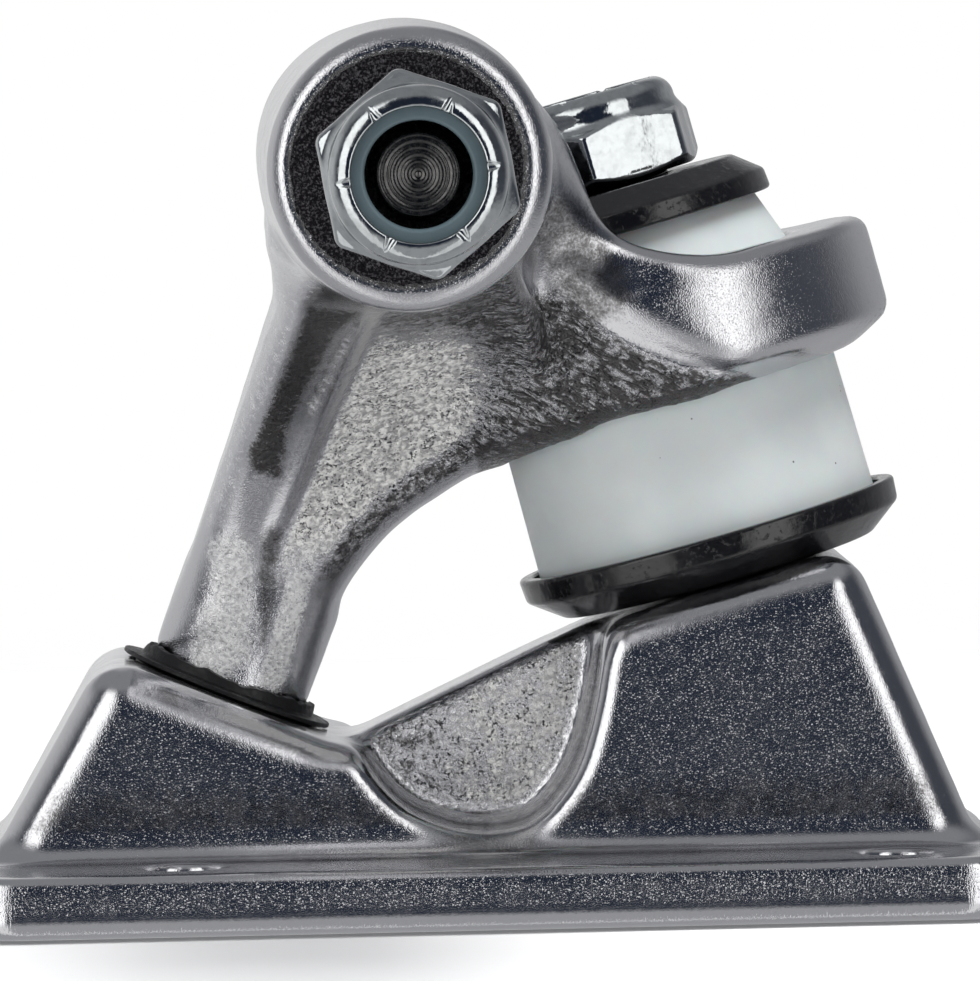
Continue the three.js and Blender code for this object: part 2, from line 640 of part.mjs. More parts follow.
function hanger() {
  const nose = turned(noseProfile(0, NOSE_ROOT), pivotFrame, SMALL_ROUND);
  const body = joined([beam(), bushingRing(), gusset(), ...arms(), nose]);
  const shaft = bar(AXLE_RADIUS + GAP, -axleEnd, axleEnd, axleFrame(1), SMALL_ROUND);
  const lowerSeat = bar(LOWER_BUSHING.topRadius + GAP, ringFoot - OVERRUN, ringWebFoot, kingpinFrame);
  const upperSeat = bar(UPPER_BUSHING.footRadius + GAP, ringWebTop, ringTop + OVERRUN, kingpinFrame);
  const hole = bar(RING_HOLE, ringFoot, ringTop, kingpinFrame, SMALL_ROUND);
  return without(body, [shaft, lowerSeat, upperSeat, hole, leanPocket()]);
}

// Axle and what is on it
function axle() {
  const tip = [[AXLE_RADIUS, axleEnd - AXLE_CHAMFER], [AXLE_RADIUS - AXLE_CHAMFER, axleEnd]];
  const foot = tip.map(([radius, along]) => [radius, -along]).reverse();
  return turned([[0, -axleEnd], ...foot, ...tip, [0, axleEnd]], axleFrame(1), SMALL_ROUND);
}

const speedRing = (foot, frame) => turned(
  tube(AXLE_RADIUS + GAP, SPEED_RING_RADIUS, foot, foot + SPEED_RING_HEIGHT), frame, SMALL_ROUND);

function axleNut(frame, turn) {
  const seat = AXLE_INSERT_RADIUS + GAP;
  return lockNut({
    flats: AXLE_NUT_FLATS,
    hex: AXLE_NUT_HEX,
    height: AXLE_NUT_HEIGHT + GAP,
    collar: AXLE_NUT_COLLAR,
    bore: AXLE_RADIUS + GAP,
    seat,
    seatFoot: insertFoot - GAP,
    lipRadius: seat - 2 * NUT_LIP + GAP,
  }, axleNutFoot, frame, turn);
}

function axleInsert(frame) {
  const bore = AXLE_RADIUS + GAP;
  const ring = tube(bore, AXLE_INSERT_RADIUS, insertFoot, insertFoot + AXLE_INSERT_HEIGHT);
  return turned(ring, frame, SMALL_ROUND);
}

// The whole truck
const group = new THREE.Group();
group.add(
  named('baseplate', baseplate(), castAluminium),
  named('pivot_cup', pivotCup(), blackUrethane),
  named('kingpin', kingpin(), blackSteel),
  named('lower_washer', cupWasher(LOWER_WASHER, lowerWasherRadius, GAP, 1), blackSteel),
  named('lower_bushing', lowerBushing(), paleUrethane),
  named('hanger', hanger(), castAluminium),
  named('upper_bushing', upperBushing(), paleUrethane),
  named('upper_washer', cupWasher(UPPER_WASHER, upperWasherRadius, upperWasherTop, -1), blackSteel),
  named('kingpin_nut', kingpinNut(), zincPlate),
  named('kingpin_nut_insert', kingpinInsert(), nylon),
  named('axle', axle(), darkSteel),
);
for (const [side, name] of [[1, 'left'], [-1, 'right']]) {
  const frame = axleFrame(side);
  group.add(
    named(`inner_speed_ring_${name}`, speedRing(hangerFace + GAP, frame), zincPlate),
    named(`outer_speed_ring_${name}`, speedRing(axleNutFoot - GAP - SPEED_RING_HEIGHT, frame), zincPlate),
    named(`axle_nut_${name}`, axleNut(frame, AXLE_NUT_TURNS[name]), zincPlate),
    named(`axle_nut_insert_${name}`, axleInsert(frame), nylon),
  );
}

export default group;
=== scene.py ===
"""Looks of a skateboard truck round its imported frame. Shapes are made in mm and placed in metres."""
import math
import bpy
import numpy as np
from mathutils import Matrix, Vector


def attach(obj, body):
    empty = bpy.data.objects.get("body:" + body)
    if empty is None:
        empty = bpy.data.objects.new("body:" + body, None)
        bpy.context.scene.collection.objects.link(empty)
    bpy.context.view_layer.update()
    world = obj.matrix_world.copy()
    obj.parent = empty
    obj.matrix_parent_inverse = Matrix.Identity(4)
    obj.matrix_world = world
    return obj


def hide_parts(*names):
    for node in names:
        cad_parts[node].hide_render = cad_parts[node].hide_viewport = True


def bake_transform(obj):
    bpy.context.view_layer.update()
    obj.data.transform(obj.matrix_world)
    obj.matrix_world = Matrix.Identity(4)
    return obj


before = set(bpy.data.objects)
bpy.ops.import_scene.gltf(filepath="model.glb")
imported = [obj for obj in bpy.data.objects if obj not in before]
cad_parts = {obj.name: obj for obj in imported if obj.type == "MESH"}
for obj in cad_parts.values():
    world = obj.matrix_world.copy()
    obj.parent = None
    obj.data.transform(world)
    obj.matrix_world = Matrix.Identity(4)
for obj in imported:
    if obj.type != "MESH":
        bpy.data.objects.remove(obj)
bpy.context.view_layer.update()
scene = bpy.context.scene
MM = 0.001

# Places shared with the solids, in mm
KINGPIN_AXIS = (18.93, 24.94), math.radians(14.8)  # a seat in XZ and the lean there
PIVOT_SEAT = (-19.6, 16.75)
PIVOT_AXIS = PIVOT_SEAT, math.radians(-22.2)
AXLE = (-5.54, 57.7)
THREAD_PITCH = 1.0583
LEAN_LIMIT = 15  # degrees that the hanger tips either way

# Heights up the kingpin from the lower washer's seat
HEAD_SHOULDER = -14
LOWER_BUSHING = (2.1, 15.0)
UPPER_BUSHING = (20.3, 28.5)
RING_FOOT, RING_TOP = 14.3, 24.0
UPPER_WASHER_TOP = 31.1
KINGPIN_NUT_FOOT = 31.4
KINGPIN_END = 38.2

KINGPIN_RADIUS = 4.76
AXLE_RADIUS = 3.97
AXLE_TIP = 98.4
BUSHING_BORE = 5.06
NOSE_BALL_DEPTH = 5.6  # from the pivot's seat down to the middle of the nose's ball


def leaning(seat, lean):
    """A frame whose local Z is up the leaning axis, local X across it and local Y along +Y."""
    across = Vector((math.cos(lean), 0, math.sin(lean)))
    up = Vector((-math.sin(lean), 0, math.cos(lean)))
    m = Matrix((across, Vector((0, 1, 0)), up)).transposed().to_4x4()
    m.translation = Vector((seat[0], 0, seat[1]))
    return m


def axle_end(side):
    """A frame whose local Z is out along the axle on the side given, 1 for +Y."""
    m = Matrix(((-side, 0, 0), (0, 0, 1), (0, side, 0))).transposed().to_4x4()
    m.translation = Vector((AXLE[0], 0, AXLE[1]))
    return m


KINGPIN = leaning(*KINGPIN_AXIS)
PIVOT = leaning(*PIVOT_AXIS)


def on_axis(m, u, t):
    """The x and z of a place in the XZ plane, given across and up in a leaning frame."""
    p = m @ Vector((u, 0, t))
    return p.x, p.z


def across_up(axis, x, z):
    """How far places lie across and up a leaning axis, from its seat."""
    seat, lean = axis
    c, s = math.cos(lean), math.sin(lean)
    return (x - seat[0]) * c + (z - seat[1]) * s, (z - seat[1]) * c - (x - seat[0]) * s


# Signed distances in mm, negative inside. The third number is the radius where the two meet.
def union(a, b, r=0.0):
    if r <= 0:
        return np.minimum(a, b)
    return np.maximum(np.minimum(a, b), r) - np.hypot(np.maximum(r - a, 0), np.maximum(r - b, 0))


def common(a, b, r=0.0):
    if not np.any(r):
        return np.maximum(a, b)
    return np.minimum(np.maximum(a, b), -r) + np.hypot(np.maximum(r + a, 0), np.maximum(r + b, 0))


def cut(a, b, r=0.0):
    return common(a, -b, r)


def outline(points, x, z):
    """Signed distance to a closed outline, negative inside."""
    x, z = np.broadcast_arrays(x, z)
    best = np.full(x.shape, 1e9, np.float32)
    sign = np.ones(x.shape, np.float32)
    for (ax, az), (bx, bz) in zip(points, points[1:] + points[:1]):
        ex, ez = bx - ax, bz - az
        wx, wz = x - ax, z - az
        t = np.clip((wx * ex + wz * ez) / (ex * ex + ez * ez), 0, 1)
        best = np.minimum(best, (wx - ex * t) ** 2 + (wz - ez * t) ** 2)
        crosses = (az > z) != (bz > z)
        side = x < ex * (z - az) / (ez if abs(ez) > 1e-9 else 1e-9) + ax
        sign = np.where(crosses & side, -sign, sign)
    return sign * np.sqrt(best)


def half_plane(a, b, x, z):
    """Distance from the line a to b, positive to its left."""
    ex, ez = b[0] - a[0], b[1] - a[1]
    return (ex * (z - a[1]) - ez * (x - a[0])) / math.hypot(ex, ez)


def curve(points, steps=8):
    """A smooth open curve through points."""
    p = np.array(points, float)
    p = np.vstack([2 * p[0] - p[1], p, 2 * p[-1] - p[-2]])
    out = []
    for a, b, c, d in zip(p, p[1:], p[2:], p[3:]):
        for i in range(steps):
            t = i / steps
            out.append(tuple(0.5 * (2 * b + (c - a) * t + (2 * a - 5 * b + 4 * c - d) * t * t
                                    + (3 * b - 3 * c + d - a) * t ** 3)))
    return out + [tuple(p[-2])]


def ease(v, a, b):
    """0 at a and 1 at b, with a smooth step between."""
    t = np.clip((v - a) / (b - a), 0, 1)
    return t * t * (3 - 2 * t)


def soften(field):
    """A field smoothed once along each axis."""
    for axis in range(3):
        padded = np.concatenate([field.take([0], axis), field, field.take([-1], axis)], axis)
        n = field.shape[axis]
        lo, mid, hi = (padded.take(range(k, k + n), axis) for k in range(3))
        field = (lo + 2 * mid + hi) / 4
    return field


def spaced(stops):
    """Grid places from (start, step) pairs, the last being (end, 0)."""
    out = []
    for (a, step), (b, _) in zip(stops, stops[1:]):
        n = max(1, round((b - a) / step))
        out += list(np.linspace(a, b, n, endpoint=False))
    return np.array(out + [stops[-1][0]], np.float32)


def sample(field, axes, p):
    """Values of a field at places, by trilinear interpolation."""
    ids, shares = [], []
    for k, ax in enumerate(axes):
        i = np.clip(np.searchsorted(ax, p[:, k]) - 1, 0, len(ax) - 2)
        ids.append(i)
        shares.append(np.clip((p[:, k] - ax[i]) / (ax[i + 1] - ax[i]), 0, 1))
    (i, j, k), (u, v, w) = ids, shares
    total = 0
    for a, fa in ((0, 1 - u), (1, u)):
        for b, fb in ((0, 1 - v), (1, v)):
            for c, fc in ((0, 1 - w), (1, w)):
                total = total + field[i + a, j + b, k + c] * fa * fb * fc
    return total


def slope(field, axes, p):
    """Slopes of a sampled field at places."""
    reach = 0.25
    g = np.empty_like(p)
    for k, step in enumerate(np.eye(3) * reach):
        g[:, k] = (sample(field, axes, p + step) - sample(field, axes, p - step)) / (2 * reach)
    return g


def skin(field, axes):
    """Vertices and quads of a field's zero surface, one vertex in each crossed cell."""
    inside = field < 0
    n = inside.astype(np.uint8)
    total = sum(n[a:n.shape[0] - 1 + a, b:n.shape[1] - 1 + b, c:n.shape[2] - 1 + c]
                for a in (0, 1) for b in (0, 1) for c in (0, 1))
    cells = np.argwhere((total > 0) & (total < 8))
    index = np.full(total.shape, -1, np.int32)
    index[tuple(cells.T)] = np.arange(len(cells))
    corner = {(a, b, c): field[cells[:, 0] + a, cells[:, 1] + b, cells[:, 2] + c]
              for a in (0, 1) for b in (0, 1) for c in (0, 1)}
    where = np.zeros((len(cells), 3))
    count = np.zeros(len(cells))
    for axis in range(3):
        b, c = [k for k in range(3) if k != axis]
        for s, t in ((0, 0), (0, 1), (1, 0), (1, 1)):
            lo = [0, 0, 0]
            lo[b], lo[c] = s, t
            hi = lo.copy()
            hi[axis] = 1
            fa, fb = corner[tuple(lo)], corner[tuple(hi)]
            hit = (fa < 0) != (fb < 0)
            share = np.where(hit, fa / np.where(hit, fa - fb, 1), 0)
            where[hit, b] += s
            where[hit, c] += t
            where[hit, axis] += share[hit]
            count += hit
    where /= count[:, None]
    verts = np.empty_like(where)
    for k, ax in enumerate(axes):
        i = cells[:, k]
        verts[:, k] = ax[i] + where[:, k] * (ax[i + 1] - ax[i])
    quads = []
    for axis in range(3):
        b, c = [k for k in range(3) if k != axis]
        flips = np.argwhere(np.diff(inside, axis=axis))
        flips = flips[(flips[:, b] > 0) & (flips[:, c] > 0)
                      & (flips[:, b] < field.shape[b] - 1) & (flips[:, c] < field.shape[c] - 1)]
        ring = []
        for db, dc in ((-1, -1), (0, -1), (0, 0), (-1, 0)):
            at = flips.copy()
            at[:, b] += db
            at[:, c] += dc
            ring.append(index[tuple(at.T)])
        quad = np.stack(ring, 1)
        out = inside[tuple(flips.T)]
        if axis == 1:
            out = ~out
        quad[~out] = quad[~out][:, ::-1]
        quads.append(quad)
    return verts, np.concatenate(quads)


def skinned(field, axes):
    """A field's skin: vertices pulled onto it, quads and normals."""
    verts, quads = skin(field, axes)
    for _ in range(2):
        g = slope(field, axes, verts)
        verts -= g * (sample(field, axes, verts) / np.maximum((g * g).sum(1), 1e-6))[:, None]
    g = slope(field, axes, verts)
    return verts, quads, g / np.linalg.norm(g, axis=1)[:, None]


def lumps(p, size, seed):
    """Smooth lumps about as wide as the size given, mostly between -1 and 1."""
    waves, gain = 14, 1.6
    rng = np.random.default_rng(seed)
    total = np.zeros(len(p))
    for _ in range(waves):
        d = rng.normal(size=3)
        d *= math.pi / size / np.linalg.norm(d) * rng.uniform(0.6, 1.5)
        total += np.sin(p @ d + rng.uniform(0, 2 * math.pi))
    return total / waves * gain


def unevened(verts, normals, depth):
    """A cast face is never quite flat."""
    broad, fine, fine_share = 3.2, 1.3, 0.45
    waves = lumps(verts, broad, 3) + fine_share * lumps(verts, fine, 4)
    return verts + normals * (waves * depth)[:, None]


def exact(field, p):
    """Values and unit slopes of a field that is worked out at the places themselves."""
    reach = 0.02
    value = field(*p.T)
    g = np.stack([(field(*(p + d).T) - field(*(p - d).T)) / (2 * reach) for d in np.eye(3) * reach], 1)
    return value, g / np.maximum(np.linalg.norm(g, axis=1), 1e-6)[:, None]


def gridded(field, axes):
    """A field's values on a grid."""
    x, y, z = (a.reshape(s) for a, s in zip(axes, ((-1, 1, 1), (1, -1, 1), (1, 1, -1))))
    return np.broadcast_to(field(x, y, z), tuple(len(a) for a in axes)).astype(np.float32)


def crisp(field, flats, step, heights):
    """The skin of a machined piece round a hexagon, pulled right onto its field."""
    reach = flats / math.sqrt(3) + 0.4
    width = spaced([(-reach, step), (reach, 0)])
    axes = width, width, spaced(heights)
    verts, quads = skin(gridded(field, axes), axes)
    for _ in range(3):
        value, g = exact(field, verts)
        verts = verts - g * value[:, None]
    return verts, quads.tolist(), exact(field, verts)[1]


def cast(field, xs, half, zs):
    """The skin of a field that is worked out on one side of the XZ plane, softened and mirrored."""
    values = soften(gridded(field, (xs, half, zs)))
    both = np.concatenate([values[:, :0:-1], values], 1)
    return skinned(both, (xs, np.concatenate([-half[:0:-1], half]), zs))


def rounded(corners, closed=True, longest=None):
    """Points and outward normals of an outline in (radius, height), from corners with the radius
    of each, gone round with the solid on the left. An open outline starts and ends on the axis."""
    steps, sharpest = 5, 0.02
    c = np.array(corners, float)
    n = len(c)
    points, normals = [], []

    def unit(v):
        return v / np.linalg.norm(v)

    for i in range(n):
        here = c[i, :2]
        before = unit(here - c[i - 1, :2]) if closed or i else None
        after = unit(c[(i + 1) % n, :2] - here) if closed or i < n - 1 else None
        if before is None or after is None:
            d = after if before is None else before
            points.append(here)
            normals.append(np.array([d[1], -d[0]]))
            continue
        n1 = np.array([before[1], -before[0]])
        turn = math.atan2(before[0] * after[1] - before[1] * after[0], before @ after)
        if abs(turn) < 1e-3:
            points.append(here)
            normals.append(n1)
            continue
        r = max(c[i, 2], sharpest)
        sign = 1 if turn > 0 else -1
        start = here - before * r * math.tan(abs(turn) / 2)
        middle = start - n1 * r * sign
        for k in range(steps + 1):
            cos, sin = math.cos(turn * k / steps), math.sin(turn * k / steps)
            nk = np.array([n1[0] * cos - n1[1] * sin, n1[0] * sin + n1[1] * cos])
            points.append(middle + nk * r * sign)
            normals.append(nk)
    if longest:
        points, normals = split(points, normals, longest)
    return np.array(points), np.array(normals)


def split(points, normals, longest):
    """Long straight runs of a closed outline in shorter steps."""
    out, flat = [], []
    n = len(points)
    for i in range(n):
        a, b = points[i], points[(i + 1) % n]
        parts = max(1, math.ceil(np.linalg.norm(b - a) / longest))
        for k in range(parts):
            s = k / parts
            out.append(a + (b - a) * s)
            flat.append(normals[i] * (1 - s) + normals[(i + 1) % n] * s)
    return out, flat


def wound(r, t, angle):
    """Places at radii, heights and angles about the local Z axis, row by row."""
    return np.stack([r * np.cos(angle), r * np.sin(angle), t], 2).reshape(-1, 3)


def turned_faces(rows, count, closed):
    """Faces between rows of points round an axis. Where they are open, each end row is one pole."""
    faces = []
    for i in range(rows if closed else rows - 1):
        j = (i + 1) % rows
        for k in range(count):
            m = (k + 1) % count
            quad = [i * count + k, i * count + m, j * count + m, j * count + k]
            if not closed and i == 0:
                quad = [0, j * count + m, j * count + k]
            elif not closed and j == rows - 1:
                quad = [i * count + k, i * count + m, j * count]
            faces.append(quad)
    return faces


def turned(profile, count, closed=True, shift=None):
    """A profile turned about the local Z axis. Shift moves a point by its angle: (radius, height) added."""
    points, normals = profile
    angle = np.arange(count) * 2 * math.pi / count
    r = np.repeat(points[:, :1], count, 1)
    t = np.repeat(points[:, 1:], count, 1)
    if shift:
        dr, dt = shift(r, t, angle[None])
        r, t = r + dr, t + dt
    flat = wound(np.repeat(normals[:, :1], count, 1), np.repeat(normals[:, 1:], count, 1), angle)
    return wound(r, t, angle), turned_faces(len(points), count, closed), flat


def rod(rows, thread):
    """A bar with helical threads, from rows of (radius, height) up it; thread gives a depth at a height."""
    count, crest, flank = 64, 0.12, 0.76  # the last two are shares of half a pitch
    rows = np.array(rows, float)
    angle = np.arange(count) * 2 * math.pi / count
    r, t = rows[:, :1], rows[:, 1:]
    wave = np.abs(((t / THREAD_PITCH - angle[None] / (2 * math.pi)) % 1) * 2 - 1)
    groove = np.clip((wave - crest) / flank, 0, 1)
    r = np.minimum(r, rows[:, 0].max() - thread(t) * groove) * np.ones_like(wave)
    return wound(r, t * np.ones_like(r), angle), turned_faces(len(rows), count, False), None


def without_loose(verts, faces, normals):
    """The vertices at a pole that no face uses are dropped."""
    used = np.zeros(len(verts), bool)
    for f in faces:
        used[f] = True
    place = np.cumsum(used) - 1
    faces = [[int(place[v]) for v in f] for f in faces]
    return verts[used], faces, None if normals is None else normals[used]


def piece(name, parts, material, place, body, node, slot, marks=None):
    """One object in place of a node, from (vertices, faces, normals) parts in a local frame in mm. It
    rides on a body or, given two heights up its local Z instead, stays where it is placed."""
    verts, faces, normals, base = [], [], [], 0
    for v, f, n in parts:
        v, f, n = without_loose(v, f if isinstance(f, list) else f.tolist(), n)
        verts.append(v)
        faces += [[i + base for i in q] for q in f]
        normals.append(n)
        base += len(v)
    mesh = bpy.data.meshes.new(name)
    mesh.from_pydata((np.concatenate(verts) * MM).tolist(), [], faces)
    m = place.copy()
    m.translation = m.translation * MM
    mesh.transform(m)
    mesh.update()
    mesh.shade_smooth()
    if all(n is not None for n in normals):
        turn = np.array(place.to_3x3())
        mesh.normals_split_custom_set_from_vertices((np.concatenate(normals) @ turn.T).tolist())
    for key, values in (marks or {}).items():
        mesh.attributes.new(key, "FLOAT", "POINT").data.foreach_set("value", values.astype(np.float32))
    ob = bpy.data.objects.new(name, mesh)
    ob.data.materials.append(material)
    scene.collection.objects.link(ob)
    if isinstance(body, str):
        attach(ob, body)
    else:
        start, end = (tuple(place @ Vector((0, 0, t)) * MM) for t in body)
        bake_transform(ob)
        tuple(start)
        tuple(end)
    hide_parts(node)


def near_line(a, b, x, z):
    """Distance to the straight run from a to b."""
    ex, ez = b[0] - a[0], b[1] - a[1]
    t = np.clip(((x - a[0]) * ex + (z - a[1]) * ez) / (ex * ex + ez * ez), 0, 1)
    return np.hypot(x - a[0] - ex * t, z - a[1] - ez * t)


# The baseplate: a rounded slab and two sloping towers joined by a hollowed web
SLAB_HALF = (39.7, 28)
SLAB_CORNER = 4.25
SLAB_TOP = 4.8
TOWER_ROOT = 3.2  # where the towers start in the slab
TOWER_FOOT = 37.9
TOWER_SIDE = 15.2
TOWER_DROP = 0.05  # from a seat down to its tower's top
PIVOT_TOWER, KINGPIN_TOWER = (-9.9, 9.9), (-8.7, 9.9)
BOLT_HOLE = (26.99, 20.64)
BOLT_MIDDLE = 4.05  # of the four holes along X
BOLT_HOLE_RADIUS = 2.75
PIVOT_BORE, PIVOT_BORE_DEPTH = 7.5, 11.9
KINGPIN_BORE = 5.0
HEAD_ROOM = 7.4  # half the flats of the recess for the kingpin's head
HOLLOW = curve([(-11.6, 24), (-10.6, 17.5), (-9.4, 12.8), (-6.6, 8.9), (-3.2, 7.0), (0.4, 6.4),
                (3.9, 7.2), (6.6, 10.2), (8.1, 14), (9.2, 19.5), (9.9, 27)])
HOLLOW_SIDE = 5.0  # how far the web is from the middle


def baseplate_field(x, y, z):
    y = np.abs(y)
    qx, qy = np.abs(x) - (SLAB_HALF[0] - SLAB_CORNER), y - (SLAB_HALF[1] - SLAB_CORNER)
    plan = np.hypot(np.maximum(qx, 0), np.maximum(qy, 0)) + np.minimum(np.maximum(qx, qy), 0) - SLAB_CORNER
    slab = common(common(plan, z - SLAB_TOP, 0.9), -z, 1.5)

    pl, pr = (on_axis(PIVOT, u, -TOWER_DROP) for u in PIVOT_TOWER)
    kl, kr = (on_axis(KINGPIN, u, -TOWER_DROP) for u in KINGPIN_TOWER)
    left = common(half_plane((-TOWER_FOOT, SLAB_TOP), pl, x, z), half_plane(pl, pr, x, z), 3.0)
    right = common(common(half_plane(pr, kl, x, z), half_plane(kl, kr, x, z), 1.2),
                   half_plane(kr, (TOWER_FOOT, SLAB_TOP), x, z), 2.8)
    side = common(union(left, right, 1.2), TOWER_ROOT - z)
    towers = common(side, y - TOWER_SIDE, 3.3)
    body = common(union(slab, towers, 2.2), plan)
    hollow = common(outline(HOLLOW, x, z), HOLLOW_SIDE - y, 2.6)
    body = cut(body, hollow, 1.6)

    u, t = across_up(PIVOT_AXIS, x, z)
    body = cut(body, common(np.hypot(u, y) - PIVOT_BORE, -PIVOT_BORE_DEPTH - t, 0.8), 0.4)
    u, t = across_up(KINGPIN_AXIS, x, z)
    body = cut(body, np.hypot(u, y) - KINGPIN_BORE, 0.3)
    hexagon = np.maximum(np.abs(u), np.abs(u) / 2 + y * math.sqrt(3) / 2) - HEAD_ROOM
    body = cut(body, common(hexagon, t - HEAD_SHOULDER, 0.3), 0.4)
    for sign in (-1, 1):
        hole = np.hypot(x - BOLT_MIDDLE - sign * BOLT_HOLE[0], y - BOLT_HOLE[1]) - BOLT_HOLE_RADIUS
        body = cut(body, hole, 0.45)
    return body


def baseplate():
    """The baseplate's skin, with marks for its metal."""
    half = spaced([(0, 0.5), (12.4, 0.35), (18.4, 0.5), (26, 0.35), (28.7, 0)])
    xs, zs = spaced([(-40.6, 0.42), (40.6, 0)]), spaced([(-0.8, 0.28), (8, 0.42), (27.8, 0)])
    verts, quads, normals = cast(baseplate_field, xs, half, zs)
    x, y, z = verts.T
    ny = np.abs(normals[:, 1])
    in_hollow = 1 - ease(outline(HOLLOW, x, z), -1.2, 0.2)
    web = in_hollow * ease(ny, 0.7, 0.93) * (np.abs(y) < 7)
    slab_side = (1 - ease(z, 4.2, 4.9)) * ease(np.abs(y), 26.5, 27.6)
    grain = ease(ny, 0.86, 0.985) * (1 - in_hollow) * (1 - ease(1.9 - z, -0.4, 0.5))
    fillet = ease(z, 4.9, 5.3) * ease(z, 8.2, 6.8) * (1 - in_hollow)
    grain = np.maximum(np.maximum(grain, 0.16), 0.5 * fillet) * (0.84 + 0.1 * slab_side)
    verts = unevened(verts, normals, 0.03 * ease(z, 0.2, 1.0) + 0.13 * web)
    # Painted light and shade: the web in the hollow paler to the right and darker to the left, the hollow's
    # walls darker, and a band low on the towers' faces darker
    tone = web * (0.5 - 0.8 * ease(x, 1.5, -5.5)) - 0.2 * in_hollow * (1 - web)
    shade = 0.45 * ease(z, 12.5, 8.5) * ease(z, 6.3, 7.6) * ease(ny, 0.8, 0.95)
    tone -= shade * (1 - in_hollow)
    marks = {"grain": grain, "rough": web, "streak": slab_side, "tone": tone, "wrinkle": 0 * z,
             "sand": 0 * z - 3}
    return [(verts, quads, normals)], marks


# The hanger: a beam round the axle, a leg down to the nose, gussets, arms and the bushing ring
BEAM_RADIUS = 10.7
BEAM_END = 68
BEAM_STRAIGHT = 42  # where the beam starts to taper
BEAM_TAPER, BEAM_TAPER_RUN = 0.6, 24.9
SAND_RADIUS, SAND_DEPTH = 8.2, 0.45  # the sandy face sunk into each end of the beam
NOSE_TIP_RADIUS, NOSE_FLARE = 4.7, 1.3
NOSE_ROOT = 10
RING_RADIUS = 18.4
RING_MIDDLE = 17.65  # where the axis of the lean meets it
BEVEL_AT, BEVEL_RUN = (18.1, 16.05), (4.5, 2.4)  # under the ring, in (radius, height)
ARM_SIDE, ARM_ROUND = 18.1, 18.25
CHEEK_SIDE = 15.7
WALL_SIDE = 17.05
LOWER_SEAT, LOWER_SEAT_TOP = 13.75, 15.3
UPPER_SEAT, UPPER_SEAT_FOOT = 12.5, 20.0
RING_HOLE = 8


def spine(along, left):
    """A place along and to the left of the line from the pivot's seat to the axle, in shares of it."""
    run, rise = AXLE[0] - PIVOT_SEAT[0], AXLE[1] - PIVOT_SEAT[1]
    return PIVOT_SEAT[0] + run * along - rise * left, PIVOT_SEAT[1] + rise * along + run * left


def kingpin_line(*places):
    return [on_axis(KINGPIN, *s) for s in places]


# Outlines in XZ, but the wing's in YZ and the pocket's in (radius, height)
LEG = [spine(*s) for s in ((0.048, 0.139), (0.35, 0.132), (0.69, 0.128), (0.8, 0.17))]
ARCH = curve([on_axis(KINGPIN, -13.3, 14.5), spine(0.52, -0.31), spine(0.385, -0.207),
              spine(0.276, -0.16), spine(0.177, -0.143), spine(0.024, -0.139)], 6)
LEG_SIDE = (LEG + [(AXLE[0] - 5, AXLE[1]), (AXLE[0] + 5, AXLE[1])]
            + kingpin_line((-8.3, 23.6), (-8.3, RING_FOOT)) + ARCH)
WING = curve([(6, 8.6), (6.0, 15), (6.1, 20.0), (6.9, 26.0), (8.9, 31.0), (12.1, 35.5), (16.6, 39.5),
              (24.0, 43.5), (34.0, 47.5), (44.0, 51.5)], 5) + [(46, 54), (46, 60), (-5, 60), (-5, 8.6)]
RIB = ((-15.9, 28.9), (-8.62, 46.07))
TROUGH = [(-12.9, 47.4), (-13.7, 44.5), (-15.1, 40.8), (-17.5, 35.5), (-17.0, 34.2), (-14.9, 33.5),
          (-14.4, 37.5), (-12.3, 41.8), (-10.6, 45.1), (-8.8, 46.7)]
ARM = (curve(kingpin_line((12.5, 23.9), (9.0, 24.15), (7.1, 24.25), (4.3, 24.9), (1.5, 26.1), (-0.5, 27.5),
                          (-2.2, 29.5), (-3.4, 31.9), (-4.8, 35.0)), 5) + [(-3, 60), (-3, 52)]
       + curve(kingpin_line((-7.2, 27.6), (-5.6, 23.6), (-2.7, 19.4), (3.0, 16.2), (12.5, 20)), 5))
CHEEK = [(-3, 55)] + kingpin_line((-5.0, 29.6), (-3.0, 24.6), (-1.5, 21.5), (0.8, 18.4), (3.0, 16.6),
                                  (5.0, 15.4), (6.5, RING_FOOT), (-13.45, RING_FOOT)) + [(-6, 47)]
WALL = curve(kingpin_line((-14, 44), (-10, 36), (-7.6, 31), (-6.2, 27.5), (-5.2, 24.6), (-3.4, 21.7),
                          (-1.0, 19.3), (1.5, 17.5), (4.0, 16.2), (6.5, 15.0), (9.0, 12.9), (12, 10.5),
                          (20, 6.0)), 4) + kingpin_line((30, 12), (30, 60), (-14, 60))
POCKET = [(-1, 25.8), (13, 25.8), (13, 32.1), (9.25, 35.85), (9.25, 56), (-1, 56)]


def rag(angle, seed):
    """A ragged edge between -1 and 1 round a circle."""
    rng = np.random.default_rng(seed)
    return sum(np.sin(k * angle + rng.uniform(0, 2 * math.pi)) / k ** 0.5 for k in (3, 7, 11, 17, 23, 31)) / 2


def end_edge(x, z):
    """How far in from the ragged edge of the sandy face at each end of the beam."""
    dx, dz = x - AXLE[0] + 0.25, z - AXLE[1]
    return SAND_RADIUS + 0.12 * rag(np.arctan2(dz, dx), 1) - np.hypot(dx, dz)


